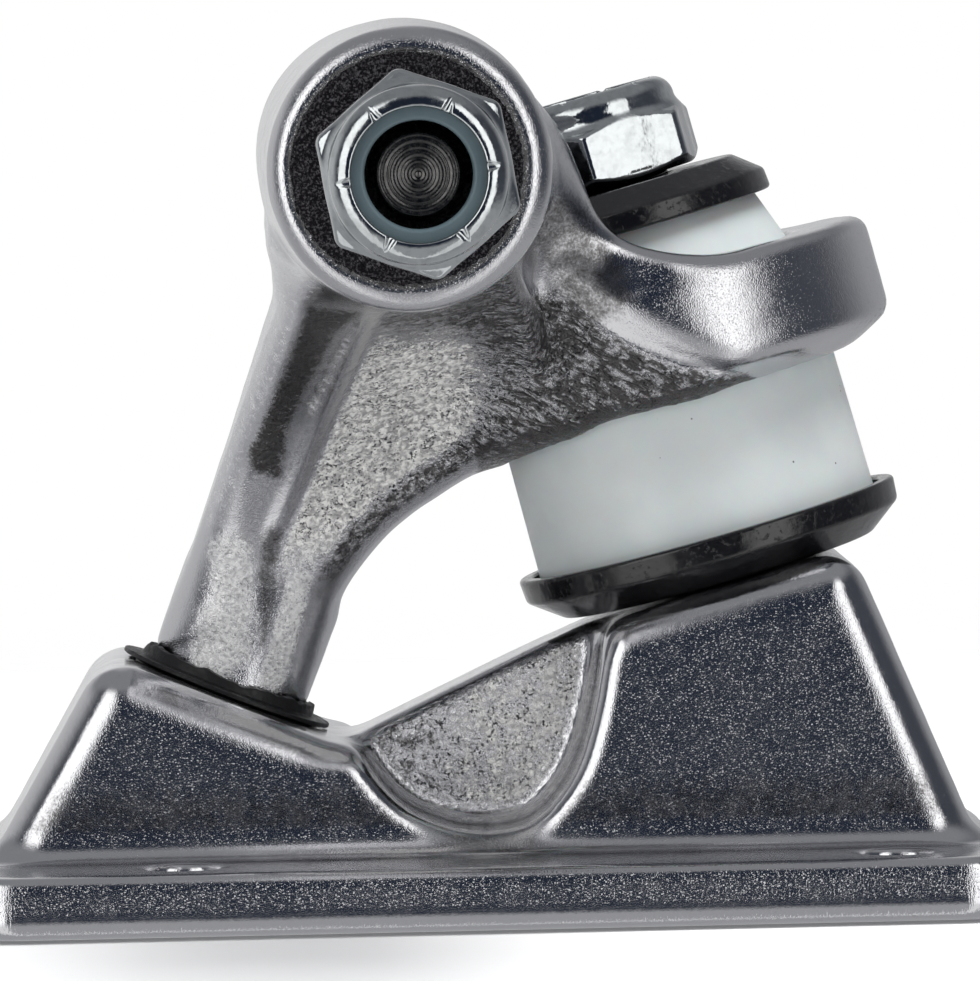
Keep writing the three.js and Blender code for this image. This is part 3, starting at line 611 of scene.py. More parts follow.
def hanger_field(x, y, z):
    y = np.abs(y)
    ra = np.hypot(x - AXLE[0], z - AXLE[1])
    radius = BEAM_RADIUS - BEAM_TAPER * np.clip((y - BEAM_STRAIGHT) / BEAM_TAPER_RUN, 0, 1)
    beam = common(ra - radius, y - BEAM_END, 1.9)
    beam = cut(beam, common(-end_edge(x, z), BEAM_END - SAND_DEPTH - y), 0.2)

    # the leg's gussets, with a bead along the rib and a fall away behind it
    side = outline(LEG_SIDE, x, z)
    front = outline(WING, y, z)
    right = half_plane(RIB[1], RIB[0], x, z)
    rise = ease(z, 26.0, 34.0)
    border = 1 - ease(-side, 1.2, 2.6)
    fall = 0.3 * ease(right, 0.4, 1.1) + 0.26 * np.clip(right - 0.6, 0, 7.5)
    fall = fall * rise * (1 - 0.35 * border)
    bead = 0.5 * (1 - ease(np.abs(right - 0.2), 0.15, 0.75))
    bead = bead * ease(z, 27.5, 30) * (1 - ease(z, 45.5, 48))
    front = front + fall - bead
    gusset = common(side, front, 5.4 - 2.4 * ease(z, 20, 34))
    u, t = across_up(PIVOT_AXIS, x, z)
    rn = np.hypot(u, y)
    taper = NOSE_TIP_RADIUS + NOSE_FLARE * np.clip((t + NOSE_BALL_DEPTH) / NOSE_BALL_DEPTH, 0, 1)
    nose = common(common(rn - taper, t - NOSE_ROOT, 2), -NOSE_BALL_DEPTH - t)
    nose = union(nose, np.hypot(rn, t + NOSE_BALL_DEPTH) - NOSE_TIP_RADIUS)
    leg = union(gusset, nose, 1.0)

    u, t = across_up(KINGPIN_AXIS, x, z)
    rk = np.hypot(u, y)
    bevel = ((rk - BEVEL_AT[0]) * BEVEL_RUN[1] + (BEVEL_AT[1] - t) * BEVEL_RUN[0]) / math.hypot(*BEVEL_RUN)
    ring = common(common(common(rk - RING_RADIUS, t - RING_TOP, 1.4), bevel, 0.7), RING_FOOT - t, 0.4)
    arm = common(outline(ARM, x, z), np.where(u < 2.3, y - ARM_SIDE, rk - ARM_ROUND), 1.4)
    cheek = common(outline(CHEEK, x, z), y - CHEEK_SIDE + 0.6 * np.clip(-4.5 - u, 0, 12), 1.8)
    cheek = common(cheek, bevel + 2.4 * ease(u, 0.5, 6.0), 0.5)
    wall = common(union(ring, arm, 0.3), (outline(WALL, x, z) + y - WALL_SIDE) * math.sqrt(0.5), 0.8)
    body = union(union(beam, wall, 7.5), union(leg, cheek, 5.0), 2.4)

    body = cut(body, common(rk - LOWER_SEAT, t - LOWER_SEAT_TOP, 0.4), 0.4)
    body = cut(body, common(rk - UPPER_SEAT, UPPER_SEAT_FOOT - t, 0.4), 0.7)
    body = cut(body, rk - RING_HOLE, 0.4)
    return cut(body, pocket(x, y, z), 0.7)


def pocket(x, y, z):
    """Room for the upper washer and its nut all the way through the lean."""
    room = None
    ball, middle = on_axis(PIVOT, 0, -NOSE_BALL_DEPTH), on_axis(KINGPIN, 0, RING_MIDDLE)
    axis = Vector((middle[0] - ball[0], 0, middle[1] - ball[1])).normalized()
    for angle in range(-LEAN_LIMIT, LEAN_LIMIT + 1, 5):
        tip = Matrix.Rotation(math.radians(-angle), 3, axis)
        qx, qy, qz = (a * (x - ball[0]) + b * y + c * (z - ball[1]) for a, b, c in tip)
        u, t = across_up(KINGPIN_AXIS, qx + ball[0], qz + ball[1])
        here = outline(POCKET, np.hypot(u, qy), t)
        room = here if room is None else np.minimum(room, here)
    return room


def hanger():
    """The hanger's skin, with marks for its metal."""
    half = spaced([(0, 0.45), (21, 0.8), (46, 1.0), (64, 0.3), (68.8, 0)])
    xs, zs = spaced([(-27.2, 0.42), (34.5, 0)]), spaced([(6.2, 0.42), (69.4, 0)])
    verts, quads, normals = cast(hanger_field, xs, half, zs)
    x, y, z = verts.T
    far = np.abs(y)
    ra = np.hypot(x - AXLE[0], z - AXLE[1])
    sand = np.minimum(end_edge(x, z), far - 67.1)
    u, t = across_up(KINGPIN_AXIS, x, z)
    rk = np.hypot(u, y)
    right = half_plane(RIB[1], RIB[0], x, z)
    side = -outline(LEG_SIDE, x, z)
    out_of_ring = outline(WALL, x, z)
    web = (ease(right, 0.9, 1.8) * ease(ra, 10.6, 11.6) * (far < 60)
           * ease(out_of_ring, 0.9, 2.2) * ease(z, 24, 30) * ease(side, 0.5, 1.6))
    near_ring = ease(x, -1.5, 6) * ease(out_of_ring, 0.2, 1.4) * ease(z, 48.5, 46)
    crumple = np.maximum(web, near_ring * (far < 60))
    # Painted light makes the web pale, and painted shade darkens it towards the ring and high up under the
    # beam
    gloom = np.clip(ease(x, -3.0, 4.0) + ease(z, 42.5, 46.5), 0, 1)
    tone = crumple * (1.0 - 1.7 * gloom)
    # Painted shade in a band along the arch's edge
    band = ease(side, 3.4, 2.2) * ease(side, 0.7, 1.3) * (right > 0.8) * ease(z, 22, 27)
    tone = tone * (1 - band) - 0.6 * band * (far < 40)
    # Painted shade in the trough beside the rib
    dark = (1 - ease(outline(TROUGH, x, z), -0.8, 0.7)) * (ra > 10.9) * (far < 46)

    def patch(a, b, full, none):
        return 1 - ease(near_line(a, b, x, z), full, none)

    # Painted highlights: a strip along the rib, the leg's left flank, and two patches low on the leg
    strip = patch((-9.3, 45.3), (-12.5, 38.9), 0.3, 0.7)
    flank = ease(right, -3.0, -4.2) * (ra > 10.9) * (far < 46) * ease(z, 25, 33)
    spot = np.maximum(patch((-18.6, 20.5), (-18.9, 27.6), 1.0, 2.4),
                      patch((-20.6, 19.0), (-19.8, 22.5), 1.0, 2.6))
    heel = patch((-15.9, 17.8), (-13.6, 25.3), 0.6, 1.5)
    # Painted shade on the arm's bend, in a line down the leg and at the ring's foot
    bend = patch((6.4, 52.6), (9.4, 47.6), 1.6, 3.4)
    leg_shade_line = patch((-15.6, 29.0), (-17.0, 20.5), 0.4, 1.3)
    foot = ease(t, 15.5, 14.8) * ease(u, 9, 5) * (near_ring > 0.1)
    tone = tone + 0.35 * np.maximum(strip, flank) + 0.75 * np.maximum(spot, heel) - 0.55 * bend
    tone = tone - 0.55 * leg_shade_line * (1 - heel) - 0.6 * foot
    tone = np.where(dark > 0.01, tone * (1 - dark) - 0.95 * dark, tone)
    ny = np.abs(normals[:, 1])
    grain = 0.35 + 0.5 * ease(ny, 0.15, 0.6) * ease(rk, 17.6, 18.2)
    grain = np.where(sand > 0, 0, grain) * (1 - 0.7 * bend)
    keep = ease(far, 66.8, 67.6)
    verts = unevened(verts, normals, 0.045 * (1 - keep) + 0.09 * web)
    rough = np.maximum(crumple, 0.45 * np.maximum(np.maximum(spot, heel), dark))
    marks = {"grain": grain, "rough": rough, "streak": 0 * z, "tone": tone,
             "wrinkle": np.maximum(near_ring, web * gloom), "sand": sand}
    return [(verts, quads, normals)], marks


def hexagon_bar(x, y, flats, turn, edge):
    """A bar of six flats, its corners rounded."""
    body = None
    for k in range(3):
        a = math.radians(turn + 60 * k)
        face = np.abs(x * math.cos(a) + y * math.sin(a)) - flats / 2
        body = face if body is None else common(body, face, edge)
    return body


def lock_nut(flats, foot, hexagon, top, collar, roll, bore, seat, seat_foot, lip, turn, dents):
    """A lock nut up its local Z: a chamfered hexagon and a round collar, its rim turned in over the
    insert and nicked at six places."""
    tilt = math.radians(28)

    def nicks(x, y):
        for k in range(6):
            a = math.radians(dents + 60 * k)
            yield x * math.cos(a) + y * math.sin(a), y * math.cos(a) - x * math.sin(a)

    def field(x, y, z):
        r = np.hypot(x, y)
        body = hexagon_bar(x, y, flats, turn, 0.4)
        body = common(body, (r - flats * 0.46) * math.sin(tilt) + (z - hexagon) * math.cos(tilt), 0.25)
        body = common(body, (r - flats * 0.475) * math.sin(tilt) + (foot - z) * math.cos(tilt), 0.2)
        body = common(body, foot - z)
        crown = common(common(r - collar, z - top, roll), foot + 1 - z)
        body = union(body, crown, 0.6)
        for along, across in nicks(x, y):
            lump = np.sqrt((along - lip - 0.05) ** 2 + across ** 2 + (z - top + 0.4) ** 2) - 0.42
            body = union(body, lump, 0.2)
        body = cut(body, r - bore, 0.1)
        body = cut(body, common(common(r - seat, seat_foot - z), z - top + 0.55))
        body = cut(body, common(r - lip + 0.05, seat_foot - z), 0.2)
        for along, across in nicks(x, y):
            share = np.clip((along - lip + 0.3) / (collar - lip - 0.1), 0, 1)
            near = lip - 0.3 + share * (collar - lip - 0.1)
            drop = z - top - 0.22 + 0.5 * share ** 2
            groove = np.sqrt((along - near) ** 2 + across ** 2 + drop ** 2) - 0.5 + 0.38 * share
            body = cut(body, groove, 0.1)
        return body

    return crisp(field, flats, 0.12, [(foot - 0.4, 0.18), (hexagon - 1, 0.11), (top + 0.4, 0)])


def hex_head(flats, low, high):
    """The kingpin's head, chamfered at its foot."""
    def field(x, y, z):
        body = hexagon_bar(x, y, flats, 0, 0.3)
        body = common(body, (np.hypot(x, y) - flats * 0.483) * 0.5 + (low - z) * 0.866, 0.15)
        return common(common(body, z - high, 0.2), low - z, 0.2)

    return crisp(field, flats, 0.24, [(low - 0.4, 0.24), (high + 0.4, 0)])


def end_face(radius, tip, rings):
    """Rows from an axis out to a turned end face's rim, marked by the tool's rings."""
    step, depth, lip, flat = 0.08, 0.045, 0.25, radius - 0.3
    r = np.arange(0, radius, step)
    swell = 0.8 + 0.2 * np.sin(7 * r)
    mark = depth * swell * (1 - np.cos(2 * math.pi * r / rings)) * (1 - ease(r, radius - 0.45, flat))
    rim = [(radius - lip * math.cos(a), tip - lip * (1 - math.sin(a)))
           for a in (math.radians(d) for d in range(90, 0, -15))]
    return [(a, tip - b) for a, b in zip(r[r < flat], mark)] + rim


def kingpin():
    foot, chamfer, threaded, depth = -17.3, 0.7, 26.4, 0.6
    ramp = np.arange(26.1, KINGPIN_END - chamfer, THREAD_PITCH / 10)
    rows = [(0, foot)] + [(KINGPIN_RADIUS, t) for t in (foot, HEAD_SHOULDER, 0, 26, *ramp)]
    rows += end_face(KINGPIN_RADIUS - chamfer, KINGPIN_END, 0.9)[::-1]
    shank = rod(rows, lambda t: depth * ease(t, threaded, threaded + 1))
    return [shank, hex_head(14.29, -20.3, HEAD_SHOULDER - 0.3)]


def axle():
    chamfer, threaded, depth = 1.0, 84.0, 0.6
    tip = end_face(AXLE_RADIUS - chamfer, AXLE_TIP, 0.47)
    ramp = np.arange(AXLE_TIP - chamfer, threaded, -THREAD_PITCH / 10)
    half = tip + [(AXLE_RADIUS, t) for t in (*ramp, threaded - 1, BEAM_END, 30)]
    rows = [(r, -t) for r, t in half] + [(AXLE_RADIUS, 0)] + half[::-1]
    return [rod(rows, lambda t: depth * ease(np.abs(t), threaded, threaded + 1))]


def ring_of(inner, outer, low, high, edge=0.2):
    corners = [(inner, low, edge), (outer, low, edge), (outer, high, edge), (inner, high, edge)]
    return [turned(rounded(corners), 72)]


def cup_washer(radius, flat, wall, bevel, thickness, height, face, up):
    """A washer whose wall rises from its flat face; up is -1 for a cup that is upside down."""
    bore = BUSHING_BORE
    corners = [(bore, face, 0.25), (flat, face, 0.7), (radius - 0.15, face + up * bevel, 0.6),
               (radius, face + up * height, 0.3), (radius - wall, face + up * height, 0.25),
               (radius - wall, face + up * thickness, 0.7), (bore, face + up * thickness, 0.25)]
    return [turned(rounded(corners if up > 0 else corners[::-1]), 144)]


def lower_bushing():
    foot, top = LOWER_BUSHING
    corners = [(BUSHING_BORE, foot, 0.4), (13.45, foot, 1.0), (13.28, top, 0.5), (BUSHING_BORE, top, 0.4)]
    return [turned(rounded(corners, longest=0.7), 128)]


def upper_bushing():
    """The cone bushing. Its top is in the upper washer's cup, clear of it when the nut is turned down."""
    foot, top = UPPER_BUSHING
    corners = [(BUSHING_BORE, foot, 0.4), (12.2, foot, 0.6), (12.2, 23.7, 1.2), (10.48, top, 0.5),
               (BUSHING_BORE, top, 0.4)]
    return [turned(rounded(corners, longest=0.6), 128)]


def pivot_cup():
    """The cup round the nose, with a thin flange and a ragged lip that hugs the nose."""
    ball_radius = 5.0
    ball = [(ball_radius * math.sin(a), -NOSE_BALL_DEPTH - ball_radius * math.cos(a), 0.02)
            for a in (math.radians(d) for d in range(90, 0, -15))]
    corners = ([(0, -11.6, 0), (6.3, -11.6, 0.3), (7.3, -10.6, 0.3), (7.3, 0, 0.2), (8.5, 0.1, 0.1),
                (8.45, 0.45, 0.12), (7.5, 0.5, 0.2), (7.1, 0.55, 0.15), (6.9, 1.3, 0.15), (6.35, 1.4, 0.12),
                (6.3, 0, 0.5)] + ball + [(0, -10.6, 0)])

    def shift(r, t, angle):
        lip = ease(t, 0.6, 1.3) * (1 - ease(r, 7.2, 7.4))
        rim = ease(r, 8.1, 8.4)
        return 0.15 * rag(angle + 1, 5) * rim + 0.14 * rag(angle, 8) * lip, 0.36 * rag(angle, 6) * lip
    return [turned(rounded(corners, closed=False), 180, closed=False, shift=shift)]


class Graph:
    """Short calls for a node tree's nodes."""

    def __init__(self, tree):
        self.nodes, self.links = tree.nodes, tree.links

    def put(self, value, socket):
        if hasattr(value, "links"):
            self.links.new(value, socket)
        else:
            socket.default_value = value

    def node(self, kind, **sockets):
        n = self.nodes.new("ShaderNode" + kind)
        for key, value in sockets.items():
            self.put(value, n.inputs[key])
        return n

    def math(self, kind, a, b=0.0):
        n = self.node("Math")
        n.operation = kind
        for v, s in zip((a, b), n.inputs):
            self.put(v, s)
        return n.outputs[0]

    def times(self, a, b):
        return self.math("MULTIPLY", a, b)

    def plus(self, a, b):
        return self.math("ADD", a, b)

    def span(self, value, a, b, lo=0.0, hi=1.0):
        n = self.node("MapRange")
        n.interpolation_type = "SMOOTHSTEP"
        for v, s in zip((value, a, b, lo, hi), n.inputs):
            self.put(v, s)
        return n.outputs[0]

    def tint(self, share, a, b):
        n = self.node("Mix")
        n.data_type = "RGBA"
        n.clamp_factor = False
        self.put(share, n.inputs["Factor"])
        for v, s in ((a, n.inputs[6]), (b, n.inputs[7])):
            self.put(v if hasattr(v, "links") else (*v, 1), s)
        return n.outputs[2]


class Shader(Graph):
    """A principled material. Lengths are in mm."""

    def __init__(self, name, color, metallic, roughness, **sockets):
        self.m = bpy.data.materials.new(name)
        self.m.use_nodes = True
        super().__init__(self.m.node_tree)
        self.p = self.nodes["Principled BSDF"]
        uniform = {"Base_Color": (*color, 1), "Metallic": metallic, "Roughness": roughness, **sockets}
        for key, value in uniform.items():
            self.put(value, self.p.inputs[key.replace("_", " ")])
        self.where = self.node("TexCoord").outputs["Object"]

    def stretched(self, x, y, z):
        n = self.node("VectorMath")
        n.operation = "MULTIPLY"
        self.put(self.where, n.inputs[0])
        self.put((x, y, z), n.inputs[1])
        return n.outputs[0]

    def along(self, angle, length):
        """Places in which a texture is drawn out along a line, turned from X towards -Z by an angle."""
        turn = (0, math.radians(angle), 0)
        n = self.node("Mapping", Vector=self.where, Rotation=turn, Scale=(length, 1, 1))
        n.vector_type = "TEXTURE"
        return n.outputs[0]

    def noise(self, size, detail=2.0, rough=0.5, where=None, distort=0.0):
        return self.node("TexNoise", Vector=where or self.where, Scale=1 / (size * MM), Detail=detail,
                         Roughness=rough, Distortion=distort).outputs["Fac"]

    def cells(self, size):
        return self.node("TexVoronoi", Vector=self.where, Scale=1 / (size * MM)).outputs["Distance"]

    def attribute(self, name):
        n = self.node("Attribute")
        n.attribute_name = name
        return n.outputs["Fac"]

    def color(self, value):
        self.put(value, self.p.inputs["Base Color"])

    def roughness(self, value):
        self.put(value, self.p.inputs["Roughness"])

    def relief(self, height, depth, before=None):
        """Bumps of a height between 0 and 1, as deep as the mm given."""
        n = self.node("Bump", Strength=1.0, Distance=depth * MM, Height=height)
        if before:
            self.links.new(before, n.inputs["Normal"])
        self.links.new(n.outputs[0], self.p.inputs["Normal"])
        return n.outputs[0]


def cast_metal():
    """Tumbled aluminium. Marks on the mesh say where it is grainy, rough, streaked or sandy, and where light
    and shade are painted: painted shade darkens corners, recesses and bends, and painted light makes patches
    pale and dull."""
    # Colours: clean metal, painted shade, and painted shade in pits
    clean, painted_shade_color, pit = (0.64, 0.64, 0.66), (0.13, 0.125, 0.125), (0.05, 0.05, 0.055)
    s = Shader("tumbled_aluminium", clean, 1.0, 0.15)
    grain, rough, edge = (s.attribute(k) for k in ("grain", "rough", "sand"))
    chips = s.noise(0.3, 4.0, 0.65)
    mottle, patches = (s.plus(s.noise(size, 3.0, 0.65), -0.5) for size in (0.2, 0.9))
    ragged = s.plus(s.times(mottle, s.span(rough, 0.0, 0.4, 0.8, 1.7)),
                    s.times(patches, s.span(rough, 0.0, 1.0, 0.7, 2.6)))
    wrinkle, folds = s.attribute("wrinkle"), s.noise(0.4, 3.0, 0.6, s.along(30, 3.5), 0.5)
    # Painted light and shade: the mark, plus streaky painted glints and shade along the folds, plus random
    # mottle. Pale is where light is painted, dark is where shade is painted.
    strokes = s.times(s.plus(folds, -0.48), s.times(wrinkle, 3.2))
    tone = s.plus(s.plus(s.attribute("tone"), strokes), ragged)
    pale, dark = s.span(tone, 0.1, 0.8), s.span(tone, -0.1, -0.8)
    sand = s.span(s.plus(edge, s.times(s.plus(chips, -0.5), 0.7)), -0.02, 0.05)

    before = s.relief(s.times(s.noise(0.1, 1.0, 0.5), grain), 0.024)
    before = s.relief(s.times(s.span(s.cells(0.17), 0.05, 0.4), grain), 0.011, before)
    streaks = s.noise(0.16, 1.0, 0.5, s.stretched(1, 1, 0.12))
    before = s.relief(s.times(streaks, s.attribute("streak")), 0.018, before)
    crags = s.noise(0.42, 4.0, 0.6, distort=0.6)
    crest = s.span(crags, 0.36, 0.62)
    before = s.relief(s.times(crags, rough), 0.34, before)
    before = s.relief(s.times(folds, wrinkle), 0.5, before)
    before = s.relief(sand, 0.12, before)
    grit = s.noise(0.2, 3.0, 0.75)
    before = s.relief(s.times(grit, sand), 0.35, before)
    s.relief(s.noise(0.5, 2.0), 0.012, before)

    # Painted shade darkens tiny pits on the rough web. Painted light makes the pale patches light, lighter
    # still on the crag crests as painted glints, and painted shade makes the dark patches dark.
    pits = s.times(s.span(s.noise(0.24, 3.0, 0.6), 0.54, 0.61), s.span(s.noise(1.3, 2.0), 0.4, 0.55))
    painted_light_color = s.tint(crest, (0.55, 0.54, 0.54), (1.0, 0.99, 0.96))
    painted_light_color = s.tint(rough, (0.74, 0.74, 0.76), painted_light_color)
    base = s.tint(dark, s.tint(pale, clean, painted_light_color), painted_shade_color)
    base = s.tint(s.times(pits, rough), base, pit)
    # The sandy face's specks are partly its grain's colour and partly painted glints
    specks = s.tint(s.span(s.noise(0.17, 2.0, 0.8), 0.45, 0.72), (0.022, 0.02, 0.025), (0.3, 0.29, 0.31))
    s.color(s.tint(sand, base, specks))
    matte = s.times(pale, s.span(crest, 0.0, 1.0, 0.3, 0.85))
    s.put(s.math("SUBTRACT", 1.0, matte), s.p.inputs["Metallic"])
    dull = s.math("MAXIMUM", s.times(pale, 0.18),
                  s.math("MAXIMUM", s.times(sand, 0.22), s.times(dark, 0.14)))
    s.roughness(s.plus(s.span(s.noise(1.6, 3.0), 0.3, 0.7, 0.11, 0.18), dull))
    return s.m


def zinc(name, color, roughness):
    s = Shader(name, color, 1.0, roughness)
    blots = s.span(s.noise(0.9, 4.0, 0.6), 0.4, 0.7)
    s.color(s.tint(blots, color, tuple(0.86 * c for c in color)))
    s.roughness(s.span(s.noise(0.7, 3.0), 0.35, 0.7, roughness * 0.7, roughness * 1.9))
    before = s.relief(s.noise(0.28, 2.0), 0.006)
    s.relief(s.noise(1.1, 2.0), 0.03, before)
    return s.m


def black_oxide():
    s = Shader("black_oxide", (0.007, 0.007, 0.008), 0.0, 0.2, Specular_IOR_Level=0.6)
    worn = s.span(s.noise(1.3, 4.0, 0.65), 0.52, 0.72)
    s.color(s.tint(worn, (0.006, 0.006, 0.007), (0.011, 0.011, 0.012)))
    s.roughness(s.span(s.noise(0.8, 3.0), 0.3, 0.7, 0.1, 0.2))
    before = s.relief(s.noise(0.16, 2.0, 0.6), 0.006)
    before = s.relief(s.span(s.noise(0.45, 4.0, 0.65), 0.56, 0.7), 0.02, before)
    s.relief(s.noise(1.8, 2.0), 0.05, before)
    return s.m


def dark_steel(name, color):
    s = Shader(name, color, 1.0, 0.3)
    s.color(s.tint(s.span(s.noise(0.5, 3.0), 0.35, 0.65), color, tuple(0.7 * c for c in color)))
    s.roughness(s.span(s.noise(0.4, 3.0), 0.3, 0.7, 0.17, 0.32))
    s.relief(s.noise(0.14, 2.0), 0.008)
    return s.m


def pale_urethane():
    s = Shader("pale_urethane", (0.62, 0.66, 0.665), 0.0, 0.42, Subsurface_Weight=0.35,
               Subsurface_Scale=0.004)
    cloud = s.span(s.noise(6.0, 2.0), 0.35, 0.65)
    milk = s.tint(cloud, (0.6, 0.64, 0.645), (0.65, 0.69, 0.69))
    specks = s.span(s.cells(2.3), 0.045, 0.03)
    s.color(s.tint(specks, milk, (0.12, 0.12, 0.11)))
    s.roughness(s.span(s.noise(2.0, 3.0), 0.3, 0.7, 0.36, 0.5))
    s.relief(s.noise(0.5, 2.0), 0.006)
    return s.m


def black_urethane():
    s = Shader("black_urethane", (0.007, 0.007, 0.008), 0.0, 0.4, Specular_IOR_Level=0.3)
    s.color(s.tint(s.noise(0.6, 3.0), (0.004, 0.004, 0.005), (0.012, 0.012, 0.013)))
    s.roughness(s.span(s.noise(0.5, 3.0), 0.3, 0.7, 0.28, 0.55))
    s.relief(s.noise(0.25, 3.0, 0.6), 0.03)
    return s.m


def nylon():
    s = Shader("blue_grey_nylon", (0.095, 0.14, 0.155), 0.0, 0.45)
    s.color(s.tint(s.noise(0.8, 3.0), (0.085, 0.125, 0.14), (0.105, 0.15, 0.17)))
    s.roughness(s.span(s.noise(0.6, 2.0), 0.3, 0.7, 0.38, 0.52))
    s.relief(s.noise(0.3, 2.0), 0.008)
    return s.m


def studio():
    """Plain white to the camera. To reflections a studio: soft boxes on both sides of a dark front, and
    a dimmer backdrop behind."""
    world = bpy.data.worlds.new("studio")
    scene.world = world
    world.use_nodes = True
    world.node_tree.nodes.clear()
    g = Graph(world.node_tree)
    x, y, z = g.node("SeparateXYZ", Vector=g.node("TexCoord").outputs["Generated"]).outputs
    # degrees round from the front, on either side
    turn = g.times(g.math("ARCTAN2", g.math("ABSOLUTE", x), g.times(y, -1.0)),
                  180 / math.pi)
    left = g.span(x, 0.1, -0.1)
    wide = g.tint(left, g.span(turn, 55, 47), g.span(turn, 66, 58))
    box = g.times(g.times(g.span(turn, 20, 25), wide), 1.7)
    back = g.tint(left, g.span(turn, 92, 140, 0.0, 0.3), g.span(turn, 66, 112, 0.0, 0.55))
    back = g.times(back, g.span(z, 0.62, 0.3, 0.4, 1.0))
    back = g.plus(back, g.span(turn, 163, 178, 0.0, 0.2))
    side = g.plus(g.plus(box, back), g.span(turn, 24, 74, 0.0, 0.05))
    # the floor's light takes over below, and the ceiling's above
    side = g.tint(g.span(z, -0.16, -0.5), side, g.plus(g.times(box, 0.34), 0.42))
    level = g.tint(g.span(z, 0.6, 0.88), side, (0.27, 0.27, 0.27))
    shown = g.tint(level, (0.02, 0.027, 0.045), (1, 1, 1))
    seen, plain = g.node("Background", Color=shown), g.node("Background", Color=(1, 1, 1, 1))
    path, pick = g.node("LightPath"), g.node("MixShader")
    direct = g.math("MAXIMUM", path.outputs["Is Camera Ray"], path.outputs["Is Transmission Ray"])
    for value, socket in zip((direct, seen.outputs[0], plain.outputs[0]), pick.inputs):
        g.put(value, socket)
    g.node("OutputWorld", Surface=pick.outputs[0])


def floor():
    """A pale floor that fades into the white backdrop away from the object."""
    bpy.ops.mesh.primitive_circle_add(vertices=96, radius=0.42, fill_type="NGON")
    ob = bpy.context.object
    ob.name = "floor"
    ob.location.z = -0.0002
    ob.visible_glossy = False
    s = Shader("pale_floor", (0.93, 0.93, 0.93), 0.0, 1.0)
    far = s.node("VectorMath")
    far.operation = "LENGTH"
    s.put(s.where, far.inputs[0])
    s.put(s.span(far.outputs["Value"], 0.12, 0.38, 1.0, 0.0), s.p.inputs["Alpha"])
    ob.data.materials.append(s.m)


def lamp():
    """One soft lamp overhead."""
    data = bpy.data.lights.new("overhead", "AREA")
    data.shape, data.size, data.energy = "DISK", 0.6, 10
    ob = bpy.data.objects.new("overhead", data)
    ob.location = (0.15, -0.2, 0.9)
    ob.rotation_euler = (Vector((0, 0, 0.03)) - ob.location).to_track_quat("-Z", "Y").to_euler()
    ob.visible_glossy = False
    scene.collection.objects.link(ob)


def camera():
    """The photograph's own place and lens, in an image 980 by 981."""
    image_height, focal_pixels, sensor = 981, 9440.23, 36
    yaw, pitch, roll = (math.radians(v) for v in (1.4289, -2.6758, -1.1661))
    ahead = Vector((math.sin(yaw) * math.cos(pitch), math.cos(yaw) * math.cos(pitch), math.sin(pitch)))
    right = Vector((math.cos(yaw), -math.sin(yaw), 0))
    up = right.cross(ahead)
    right, up = (math.cos(roll) * right + math.sin(roll) * up, math.cos(roll) * up - math.sin(roll) * right)
    data = bpy.data.cameras.new("camera")
    data.sensor_fit = "VERTICAL"
    data.sensor_height = data.sensor_width = sensor
    data.lens = sensor * focal_pixels / image_height
    data.clip_start, data.clip_end = 0.05, 20
    ob = bpy.data.objects.new("camera", data)
    m = Matrix((right, up, -ahead)).transposed().to_4x4()
    m.translation = Vector((-16.96, -731.62, 65.98)) * MM
    ob.matrix_world = m
    scene.collection.objects.link(ob)
    scene.camera = ob


camera()
studio()
floor()
lamp()
scene.view_settings.view_transform = "Standard"

aluminium, oxide = cast_metal(), black_oxide()
nut_zinc = zinc("bright_zinc", (0.55, 0.575, 0.585), 0.1)
ring_zinc = zinc("ring_zinc", (0.5, 0.52, 0.53), 0.16)
axle_steel = dark_steel("axle_steel", (0.11, 0.108, 0.107))
kingpin_steel = dark_steel("kingpin_steel", (0.2, 0.19, 0.18))
milky, black_cup, blue_nylon = pale_urethane(), black_urethane(), nylon()


for name, make, body in (("baseplate", baseplate, "base"), ("hanger", hanger, "hanger")):
    parts, marks = make()
    piece(name + "_casting", parts, aluminium, Matrix(), body, name, name + "_casting", marks)

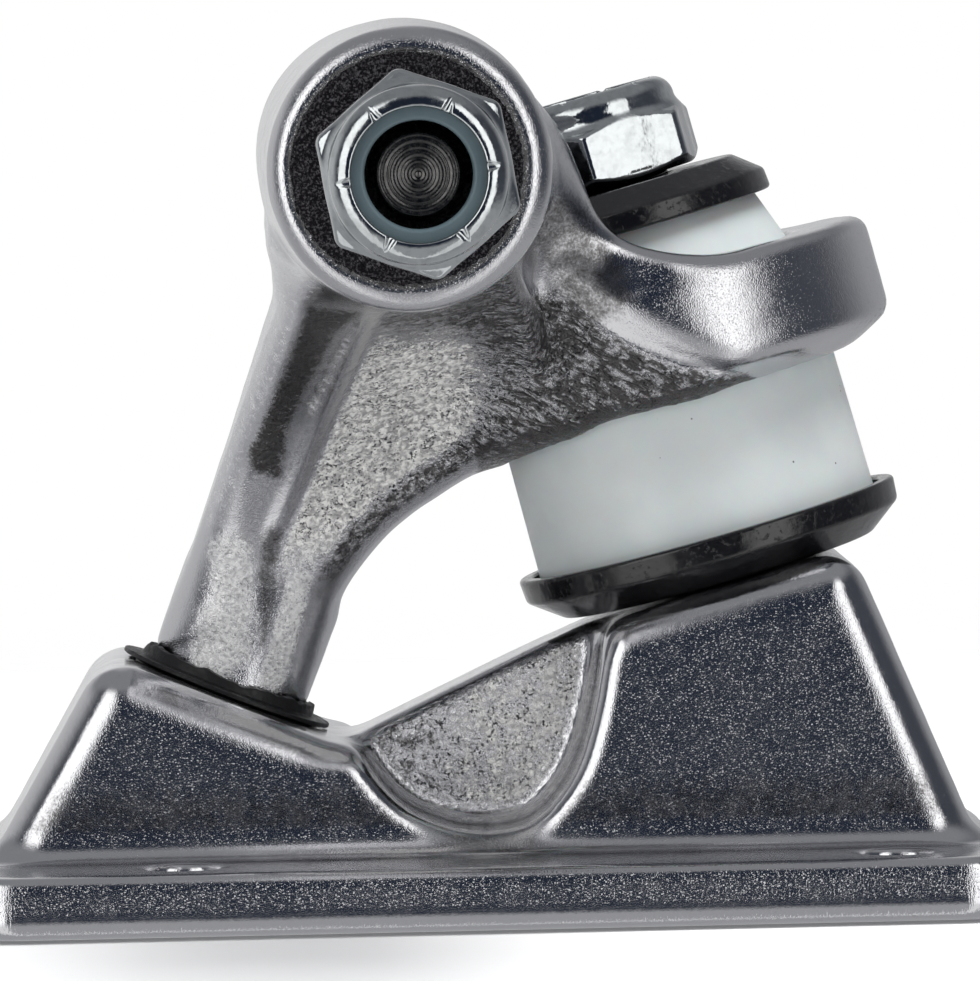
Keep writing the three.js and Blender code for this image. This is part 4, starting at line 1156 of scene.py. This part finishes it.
piece("kingpin_bolt", kingpin(), kingpin_steel, KINGPIN, "base", "kingpin", "kingpin_steel")
piece("lower_cup_washer", cup_washer(15.1, 12.4, 1.2, 1.9, 1.8, 3.75, 0.0, 1), oxide, KINGPIN, "base",
      "lower_washer", "black_washer")
piece("upper_cup_washer", cup_washer(12.1, 9.8, 0.95, 1.7, 1.5, 3.3, UPPER_WASHER_TOP, -1), oxide, KINGPIN,
      "upper_washer", "upper_washer", "black_washer")
piece("barrel_bushing", lower_bushing(), milky, KINGPIN, LOWER_BUSHING, "lower_bushing", "bushing_urethane")
piece("cone_bushing", upper_bushing(), milky, KINGPIN, UPPER_BUSHING[::-1], "upper_bushing",
      "bushing_urethane")
piece("pivot_seat_cup", pivot_cup(), black_cup, PIVOT, (0.2, 3.2), "pivot_cup", "cup_urethane")
nut = lock_nut(flats=14.29, foot=KINGPIN_NUT_FOOT, hexagon=36.4, top=38.6, collar=6.85, roll=1.6, bore=4.9,
               seat=6.0, seat_foot=36.9, lip=5.5, turn=-8.8, dents=12)
piece("kingpin_lock_nut", [nut], nut_zinc, KINGPIN, "kingpin_nut", "kingpin_nut", "nut_zinc")
piece("kingpin_nylon", ring_of(4.4, 5.7, 36.9, 37.95), blue_nylon, KINGPIN, "kingpin_nut",
      "kingpin_nut_insert", "nylon_insert")
piece("axle_rod", axle(), axle_steel, axle_end(1), "hanger", "axle", "axle_steel")
for side, word, turn in ((-1, "right", 10.2), (1, "left", 17.0)):
    place = axle_end(side)
    nut = lock_nut(flats=12.7, foot=92.3, hexagon=98.3, top=101.2, collar=6.05, roll=1.4, bore=4.1, seat=5.3,
                   seat_foot=98.55, lip=4.6, turn=turn, dents=5.6)
    nylon_ring = ring_of(3.65, 5.0, 98.7, 100.4, 0.3)
    for name, parts, material, body, node, slot in (
            ("axle_lock_nut_", [nut], nut_zinc, "axle_nut_", "axle_nut_", "nut_zinc"),
            ("axle_nylon_", nylon_ring, blue_nylon, "axle_nut_", "axle_nut_insert_", "nylon_insert"),
            ("inner_ring_piece_", ring_of(4.27, 6, 68.3, 69.3), ring_zinc, "inner_ring_", "inner_speed_ring_",
             "ring_zinc"),
            ("outer_ring_piece_", ring_of(4.27, 6, 91, 92), ring_zinc, "outer_ring_", "outer_speed_ring_",
             "ring_zinc")):
        piece(name + word, parts, material, place, body + word, node + word, slot)
